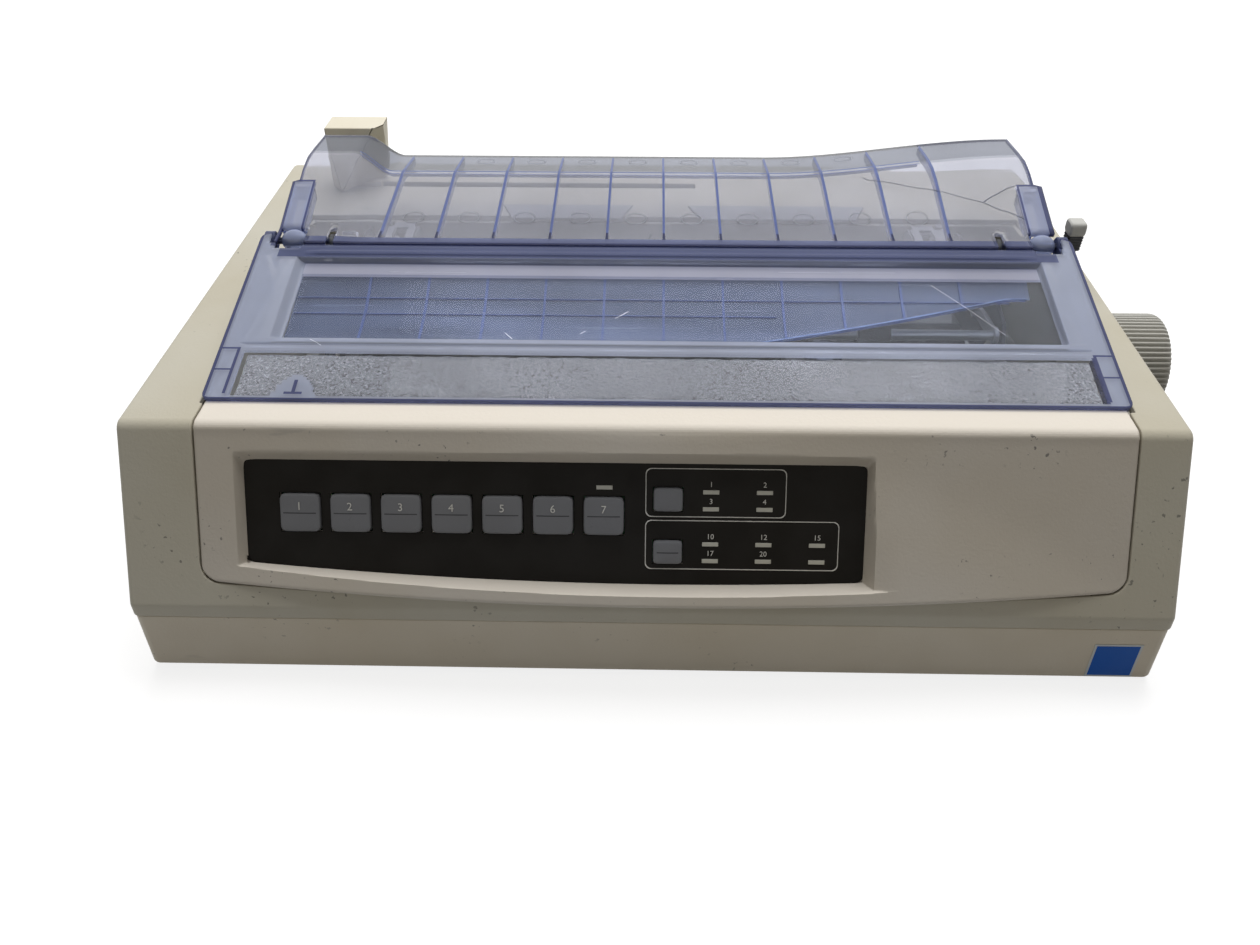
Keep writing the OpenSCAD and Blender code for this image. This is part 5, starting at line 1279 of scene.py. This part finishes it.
def separator_trim_patches():
    """Ribs, walls of the side arms, the wall under the ridge and the separator's knuckles."""
    patches = [rib_patch(x, 0.9, 3.4, 5.2, SEP_DEPTH - 3, 0) for x in RIBS]
    patches += [rib_patch(x, 1.5, 3.6, 5, 10.5, 1) for x in RIBS]
    for x, thick in ((SEP_L + 1.0, 1.6), (SEP_L + 9, 2), (SEP_R - 9, 2), (SEP_R - 1.0, 1.6)):
        patches.append(rib_patch(x, thick, 6.0, 13, SEP_STEP - 1, 2))
    for x0, x1 in ((SEP_L + 0.4, SEP_L + 10), (SEP_R - 10, SEP_R - 0.4)):
        top = separator_points(np.linspace(x0, x1, 5), SEP_STEP - 2, SHEET_T)
        patches.append(hanging_wall(top, 6, [0, 1.4, 0], 1))
    top = separator_points(np.linspace(*RIDGE_X, 60), SEP_RIDGE, SHEET_T)
    patches.append(hanging_wall(top, 1.2, [0, 0.7, 0], 0))
    turn = 1.2 * np.linspace(-1, 1, 13)
    across, r = 5.4 * np.sin(turn) / math.sin(1.2), 5.0 * np.cos(turn)
    for k in KNUCKLE_X:
        patches.append((*turned(k + across, r, (HINGE_Y, HINGE_Z), circle(48)), 2))
    return patches


def foam_patches():
    """The foam strip: a soft-edged pad whose thickness eases out at its rim.

    Its front edge s0 runs back by 10 mm times sqrt(1 - u^2) round the tab, where u is the
    distance from the tab over 7.5 mm. Its other edges waver by less than 1 mm.
    """
    x0, x1, s0, s1 = COVER_L + 10.6, COVER_R - 9.3, 2.6, 27.2
    top_h, low_h, rim_w = -2.2, -7.6, 2.2
    x = spread([x0, x1, x0 + 0.5, x0 + 1.1, x1 - 1.1, x1 - 0.5,
                *np.linspace(TAB_MID - 7.9, TAB_MID + 7.9, 24)], 2.5)
    t = np.concatenate([[0, 0.02, 0.05], np.linspace(0.1, 0.9, 9), [0.95, 0.98, 1]])
    tt, xx = np.meshgrid(t, x, indexing="ij")
    wave = 0.35 * np.sin(xx * 0.37) + 0.3 * np.sin(xx * 0.83) + 0.25 * np.sin(xx * 1.7 + 2)
    front = s0 + 10 * np.sqrt(np.clip(1 - ((xx - TAB_MID) / 7.5) ** 2, 0, 1)) + 0.25 * abs(wave)
    ss = front + (s1 - 0.5 + 0.5 * wave - front) * tt
    edge = np.minimum.reduce([xx - x0, x1 - xx, ss - front, ss[-1] - ss])
    edge = np.clip(edge / rim_w, 0, 1)
    ease = np.sqrt(edge * (2 - edge))
    sway = 0.4 * np.sin(ss * 1.1 + 1) + 0.3 * np.sin(ss * 2.3)
    drawn = xx + np.where(xx < x0 + 1.5, abs(sway), 0) - np.where(xx > x1 - 1.5, abs(sway), 0)
    top = on_cover(drawn, ss, top_h - 1.4 * (1 - ease))
    low = on_cover(drawn, ss, low_h + 0.9 * (1 - ease))
    index = np.arange(xx.size).reshape(xx.shape)
    rim = np.concatenate([index[0, :-1], index[:-1, -1], index[-1, :0:-1], index[:0:-1, 0]])
    walls = np.stack([rim, np.roll(rim, -1), np.roll(rim, -1) + xx.size, rim + xx.size], -1).tolist()
    ring = np.concatenate([top.reshape(-1, 3), low.reshape(-1, 3)])
    return [grid(top), grid(low, flip=True), (ring, walls)]


# ---- Knob, lever and guide ----


def knob_patches(ribs):
    """The platen knob: a turned barrel whose skin dips by about 1 mm in each of its grooves.

    The dip at angle a is depth times a soft square wave of ribs * a, and it runs out at both ends.
    """
    low, high = node_box("platen_knob")
    x0, x1 = low[0], high[0]
    centre = ((low[1] + high[1]) / 2, (low[2] + high[2]) / 2)
    r, edge = (high[1] - low[1]) / 2, 3.2
    turn = np.linspace(0, math.pi / 2, 7)
    x = np.concatenate([[x0, x0, x0 + 0.6, x0 + 1.4, x0 + 1.8], np.linspace(x0 + 2.4, x1 - 4, 7),
                        x1 - edge + edge * np.sin(turn), [x1, x1 - 0.6, x1 - 0.6]])
    barrel = np.concatenate([[6.5, r - 1.4, r - 0.8, r - 0.7, r - 0.3], np.full(7, r),
                             r - edge + edge * np.cos(turn), [r - 5, r - 5.6, 0.3]])
    depth = np.concatenate([[0, 0, 0, 0, 0.6], np.full(7, 1.0), np.linspace(1, 0.2, 7), [0, 0, 0]])
    a = circle(ribs * 10)
    dip = 0.5 - 0.5 * np.tanh(2.2 * (np.cos(ribs * a) + 0.1)) / math.tanh(2.2)
    return [turned(x, barrel[:, None] - 1.05 * depth[:, None] * dip[None], centre, a)]


def rounded_box(x0, x1, y0, y1, z0, z1, r, index):
    """A patch: a box with corners of radius r in the YZ plane and small edges at both X ends."""
    ring = rounded_rectangle(y0, y1, z0, z1, r, 5)
    middle, half = np.array([[y0 + y1, z0 + z1], [y1 - y0, z1 - z0]]) / 2
    insets = ((x0, 0.9), (x0 + 0.3, 0.3), (x0 + 0.9, 0), (x1 - 0.9, 0), (x1 - 0.3, 0.3), (x1, 0.9))
    rings = [np.column_stack([np.full(len(ring), x), middle + (ring - middle) * (1 - inset / half)])
             for x, inset in insets]
    return (*loft(rings), index)


def lever_patches():
    """The paper lever: a flat arm with a dark ridged grip under a box-like cap."""
    foot = node_box("paper_lever")[0][2]
    x, y, z = LEVER_X, LEVER_Y, TOP_Z
    ridge, count = 1.45, 5
    patches = [rounded_box(x - 4, x + 3.2, y - 7, y + 1.2, z + 20.6, z + 27, 1.8, 0)]
    for i in range(count):
        low = z + 13.4 + ridge * i
        patches.append(rounded_box(x - 3.7, x + 3.2, y - 5.4 - 0.2 * i, y + 1, low, low + 1.5, 0.6, 1))
    patches.append(block([x - 2, y - 4, foot + 4], [x + 2, y + 4, z + 13.8]))
    patches.append(turned([x - 2, x + 2], [6, 6], (y, foot + 6), circle(24)))
    return patches


# ---- Operators ----


class BuildCase(bpy.types.Operator):
    """Builds the upper and lower casings"""

    bl_idname = "printer.case"
    bl_label = "Casings"
    bl_options = {"REGISTER", "UNDO"}

    def execute(self, context):
        sizes = context.scene.printer_sizes
        wall = sizes.wall / MM
        patches = upper_case_patches(sizes.case_edge / MM, wall)
        top = make_piece("case_top", patches, "case", ["case"], ["upper_case"])
        soften(thicken(top, wall, even=True), 0.5, 40)
        refined("lower_case", "base", 0.6, "case_base")
        refined("rubber_feet", "rubber", 0.8, "feet")
        return {"FINISHED"}


class BuildFascia(bpy.types.Operator):
    """Builds the bowed fascia and the control panel"""

    bl_idname = "printer.fascia"
    bl_label = "Fascia and panel"
    bl_options = {"REGISTER", "UNDO"}

    def execute(self, context):
        skin = make_piece("fascia", fascia_patches(), "case", ["fascia"], ["front_fascia"])
        thicken(skin, 1.5)
        panel = make_piece("panel", panel_patches(), "case", ["panel"], ["panel_overlay"])
        soften(thicken(panel, PANEL_T - 0.05), 0.12, 40)
        refined("indicator_lights", "window", 0.15, "indicators")
        self.frames()
        self.numbers()
        self.label()
        return {"FINISHED"}

    def frames(self):
        """Two thin printed frames with rounded corners."""
        patches = []
        for x0, x1, v0, v1 in ((-1.4, 51.1, 15.9, 34.3), (-1.4, 71.4, 35.8, 54.6)):
            line = rounded_rectangle(x0, x1, v0, v1, 2.2, 7)
            line = np.concatenate([line, line[:1]])
            half = np.sign(line - np.array([x0 + x1, v0 + v1]) / 2) * 0.16
            rings = np.stack([line - half, line + half])
            patches.append(grid(on_face(rings[..., 0], rings[..., 1], PANEL_N + 0.06)))
        piece = make_piece("panel_frames", patches, "case", ["print"])
        thicken(piece, 0.08)

    def numbers(self):
        """Plain numbers over the indicators and on the keys."""
        x0, x1, x2 = 23.1, 43.2, 63.4
        plan = [("10", x0, 42.0), ("12", x1, 42.0), ("15", x2, 42.0), ("17", x0, 48.5), ("20", x1, 48.5),
                ("1", x0, 21.9), ("2", x1, 21.9), ("3", x0, 28.4), ("4", x1, 28.4)]
        for text, x, v in plan:
            words(f"number_{text}_{int(x)}", text, x, v, PANEL_N + 0.03, 2.0, "case")
        for i, (x, v, _, _) in enumerate(key_places()[:TALL_KEYS]):
            words(f"key_number_{i + 1}", str(i + 1), x, v - 2.6, PANEL_N + 2.0, 3.0, f"button_{i + 1}")

    def label(self):
        """The square label at the front of the lower case: blue with a pale border."""
        low, high = node_box("info_label")
        pad = np.array([0.9, 0, 0.9])
        back = block(low, high - [0, 0.05, 0])
        face = block(low + pad - [0, 0.04, 0], high - pad - [0, 0.15, 0])
        make_piece("info_square", [(*back, 1), (*face, 0)], "case",
                   ["label", "label_edge"], ["info_label"], recalc=True)


FONT_SIZE_PER_HEIGHT = 1.42


def words(name, text, x, v, n, size, body):
    """Flat characters lying on the sloping front, size mm tall, centred at x and v."""
    curve = bpy.data.curves.new(name, "FONT")
    curve.body = text
    curve.size = size * FONT_SIZE_PER_HEIGHT * MM
    curve.extrude = 0.02 * MM
    curve.resolution_u = 3
    curve.align_x = "CENTER"
    curve.align_y = "CENTER"
    holder = add_object(name + "_curve", curve)
    depsgraph = bpy.context.evaluated_depsgraph_get()
    mesh = bpy.data.meshes.new_from_object(holder.evaluated_get(depsgraph))
    bpy.data.objects.remove(holder)
    origin = Vector(place(on_face(x, v, n)))
    turn = Matrix.Rotation(math.pi / 2 - LEAN, 4, "X")
    mesh.transform(Matrix.Translation(origin) @ turn)
    mesh.materials.clear()
    mesh.name = name
    return finish_piece(name, mesh, body, ["print"], weld=1e-4)


class BuildKeys(bpy.types.Operator):
    """Builds the nine key caps"""

    bl_idname = "printer.keys"
    bl_label = "Keys"
    bl_options = {"REGISTER", "UNDO"}

    def execute(self, context):
        for i, key in enumerate(key_places()):
            patches = key_patches(*key, top=PANEL_N + 1.55, divided=i != TALL_KEYS)
            make_piece(f"key_cap_{i + 1}", patches, f"button_{i + 1}",
                       ["key", "groove"], [f"key_{i + 1}"])
        return {"FINISHED"}


class BuildClearParts(bpy.types.Operator):
    """Builds the access cover, its foam and the paper separator"""

    bl_idname = "printer.clear_parts"
    bl_label = "Cover and separator"
    bl_options = {"REGISTER", "UNDO"}

    def execute(self, context):
        looks = ["clear", "edge", "window_clear", "front_clear", "band", "pale"]
        sheet = make_piece("cover_sheet", cover_patches(), "cover", looks, ["access_cover"])
        thicken(sheet, SHEET_T)
        make_piece("cover_trim", cover_trim_patches(), "cover",
                   ["clear", "edge", "band"], recalc=True)
        make_piece("cover_shield", shield_patches(), "cover",
                   ["shield", "shield_rib", "shield_edge"])
        make_piece("cover_scratches", scratch_patches(), "cover", ["scratch"])
        make_piece("separator_marks", mark_patches(), "rear_separator", ["mark", "crack"])
        pad = make_piece("cover_foam_pad", foam_patches(), "cover", ["foam"],
                         ["cover_foam"], recalc=True)
        sheet = make_piece("separator_sheet", separator_patches(), "rear_separator",
                           ["sheet_clear", "edge", "band", "sheet_back_painted_shade", "arm", "sheet_rib",
                            "rib_end"], ["separator"])
        thicken(sheet, SHEET_T)
        make_piece("separator_trim", separator_trim_patches(), "rear_separator",
                   ["rib", "rib_end", "ball"], recalc=True)
        return {"FINISHED"}


class BuildHandles(bpy.types.Operator):
    """Builds the platen knob, the paper lever and the sheet guide"""

    bl_idname = "printer.handles"
    bl_label = "Knob, lever and guide"
    bl_options = {"REGISTER", "UNDO"}

    def execute(self, context):
        ribs = context.scene.printer_sizes.knob_ribs
        make_piece("knob", knob_patches(ribs), "platen", ["knob"], ["platen_knob"], recalc=True)
        lever = make_piece("lever_arm", lever_patches(), "lever",
                           ["knob", "dark"], ["paper_lever"], recalc=True)
        soften(lever, 0.4)
        refined("sheet_guide", "guide", 0.6, "guide_prow", 20)
        return {"FINISHED"}


class BuildMechanism(bpy.types.Operator):
    """Builds the parts inside the case"""

    bl_idname = "printer.mechanism"
    bl_label = "Mechanism"
    bl_options = {"REGISTER", "UNDO"}

    plan = {
        "sheet_steel": ["chassis"],
        "steel": ["paper_bail", "case_screws", "data_port"],
        "grey": ["paper_chute", "sheet_supports", "tractor_left", "tractor_right", "sprocket_left",
                 "sprocket_right", "tractor_flap_left", "tractor_flap_right"],
        "shaft": ["carriage_shaft", "tractor_rod", "platen_shaft", "tractor_shaft"],
        "pin": ["hinge_pins"],
        "dark": ["carriage", "ribbon_cartridge", "power_rocker", "power_inlet", "timing_belt"],
        "motor": ["spacing_motor", "feed_motor", "printhead", "transformer"],
        "nylon": ["platen_gear", "feed_idler_gear", "tractor_idler_gear", "shaft_bushings"],
        "brass": ["motor_pinion", "motor_pulley", "idler_pulley"],
        "rubber": ["platen_roller", "bail_rollers"],
        "board": ["main_board", "panel_board"],
        "ribbon": ["ribbon_knob"],
    }
    crisp = {"case_screws", "hinge_pins", "carriage_shaft", "tractor_rod", "timing_belt", "platen_gear",
             "feed_idler_gear", "tractor_idler_gear", "motor_pinion", "motor_pulley", "idler_pulley",
             "printhead", "tractor_shaft"}

    def execute(self, context):
        for name, nodes in self.plan.items():
            for item in nodes:
                refined(item, name, 0.12 if item in self.crisp else 0.3)
        return {"FINISHED"}


class BuildStage(bpy.types.Operator):
    """Builds the floor, the lamps, the world and the camera"""

    bl_idname = "printer.stage"
    bl_label = "Stage"
    bl_options = {"REGISTER", "UNDO"}

    def execute(self, context):
        self.floor()
        self.world()
        self.lamp("overhead", (0.1, 0.62, 1.6), (0, 0, 0.05), 1.3, 34.5)
        self.lamp("front", (-0.4, -1.8, 0.35), (0, 0, 0.05), 1.2, 2.7)
        self.camera(context.scene.printer_sizes.lens)
        return {"FINISHED"}

    def seen(self, tree):
        """1 on the rays by which the camera sees a thing, straight or through glass and mirrors."""
        path = node(tree, "LightPath").outputs
        seen = path["Is Camera Ray"]
        for kind in ("Is Transmission Ray", "Is Glossy Ray"):
            seen = node(tree, "Math", {0: seen, 1: path[kind]}, operation="MAXIMUM").outputs[0]
        straight = node(tree, "Math", {0: path["Diffuse Depth"], 1: 0.5}, operation="LESS_THAN")
        return times(tree, seen, straight.outputs[0])

    def floor(self):
        """A wide pale floor that the camera sees as white with the object's soft shadow."""
        size = 6.0
        mesh = bpy.data.meshes.new("floor")
        z = CAD_BOUNDS[0].z
        corners = [(-size, -size, z), (size, -size, z), (size, size, z), (-size, size, z)]
        mesh.from_pydata(corners, [], [[0, 1, 2, 3]])
        pale, tree, shader = new_finish("pale floor", (0.30, 0.30, 0.30), Roughness=0.9)
        glow = node(tree, "Emission", {"Color": (1, 1, 1, 1), "Strength": 0.82})
        both = node(tree, "AddShader", {0: shader.outputs[0], 1: glow.outputs[0]})
        show_mixed(tree, self.seen(tree), shader, both)
        mesh.materials.append(pale)
        obj = add_object("floor", mesh)

    def world(self):
        """Soft even light, which the camera and mirrors see as white."""
        world = bpy.data.worlds.new("studio")
        bpy.context.scene.world = world
        world.use_nodes = True
        tree = world.node_tree
        light = tree.nodes["Background"]
        light.inputs["Color"].default_value = (1, 0.94, 0.85, 1)
        light.inputs["Strength"].default_value = 0.13
        white = node(tree, "Background", {"Color": (1, 1, 1, 1), "Strength": 1.0})
        show_mixed(tree, self.seen(tree), light, white, "World Output")

    def lamp(self, name, at, towards, size, watts):
        """A square soft lamp at a point, aimed at another."""
        data = bpy.data.lights.new(name, "AREA")
        data.size = size
        data.energy = watts
        obj = add_object(name, data)
        obj.location = at
        obj.visible_glossy = False
        aim = Vector(towards) - Vector(at)
        obj.rotation_euler = aim.to_track_quat("-Z", "Y").to_euler()

    def camera(self, lens):
        """The camera in front, looking down at the printer."""
        pitch, yaw, roll = (math.radians(a) for a in (37.8, -1.24, 0.10))
        ahead = Vector((math.sin(yaw) * math.cos(pitch), math.cos(yaw) * math.cos(pitch), -math.sin(pitch)))
        right = Vector((math.cos(yaw), -math.sin(yaw), 0))
        down = ahead.cross(right)
        across = math.cos(roll) * right + math.sin(roll) * down
        under = -math.sin(roll) * right + math.cos(roll) * down
        data = bpy.data.cameras.new("camera")
        data.lens = lens
        data.sensor_width = 36
        data.sensor_fit = "HORIZONTAL"
        obj = add_object("camera", data)
        turn = Matrix((across, -under, -ahead)).transposed().to_4x4()
        obj.matrix_world = Matrix.Translation(place([-0.6, -288.2, 323.1])) @ turn
        bpy.context.scene.camera = obj
        bpy.context.scene.view_settings.view_transform = "Standard"


STEPS = (BuildStage, BuildCase, BuildFascia, BuildKeys, BuildClearParts, BuildHandles, BuildMechanism)


class PrinterPanel(bpy.types.Panel):
    """Lists the settings and the build steps"""

    bl_idname = "VIEW3D_PT_printer"
    bl_label = "Printer"
    bl_space_type = "VIEW_3D"
    bl_region_type = "UI"
    bl_category = "Printer"

    def draw(self, context):
        for group in (context.scene.printer_sizes, context.scene.printer_colours):
            for key in group.bl_rna.properties.keys():
                if key not in ("rna_type", "name"):
                    self.layout.prop(group, key)
        for step in STEPS:
            self.layout.operator(step.bl_idname)


CLASSES = (PrinterColours, PrinterSizes, *STEPS, PrinterPanel)


def register():
    """Registers the classes and puts the settings on the scene."""
    for item in CLASSES:
        bpy.utils.register_class(item)
    bpy.types.Scene.printer_sizes = PointerProperty(type=PrinterSizes)
    bpy.types.Scene.printer_colours = PointerProperty(type=PrinterColours)


def unregister():
    """Removes the settings and the classes."""
    del bpy.types.Scene.printer_sizes, bpy.types.Scene.printer_colours
    for item in reversed(CLASSES):
        bpy.utils.unregister_class(item)


def main():
    """Builds the printer and its stage."""
    register()
    for step in STEPS:
        group, name = step.bl_idname.split(".")
        getattr(getattr(bpy.ops, group), name)()


if __name__ == "__main__":
    main()
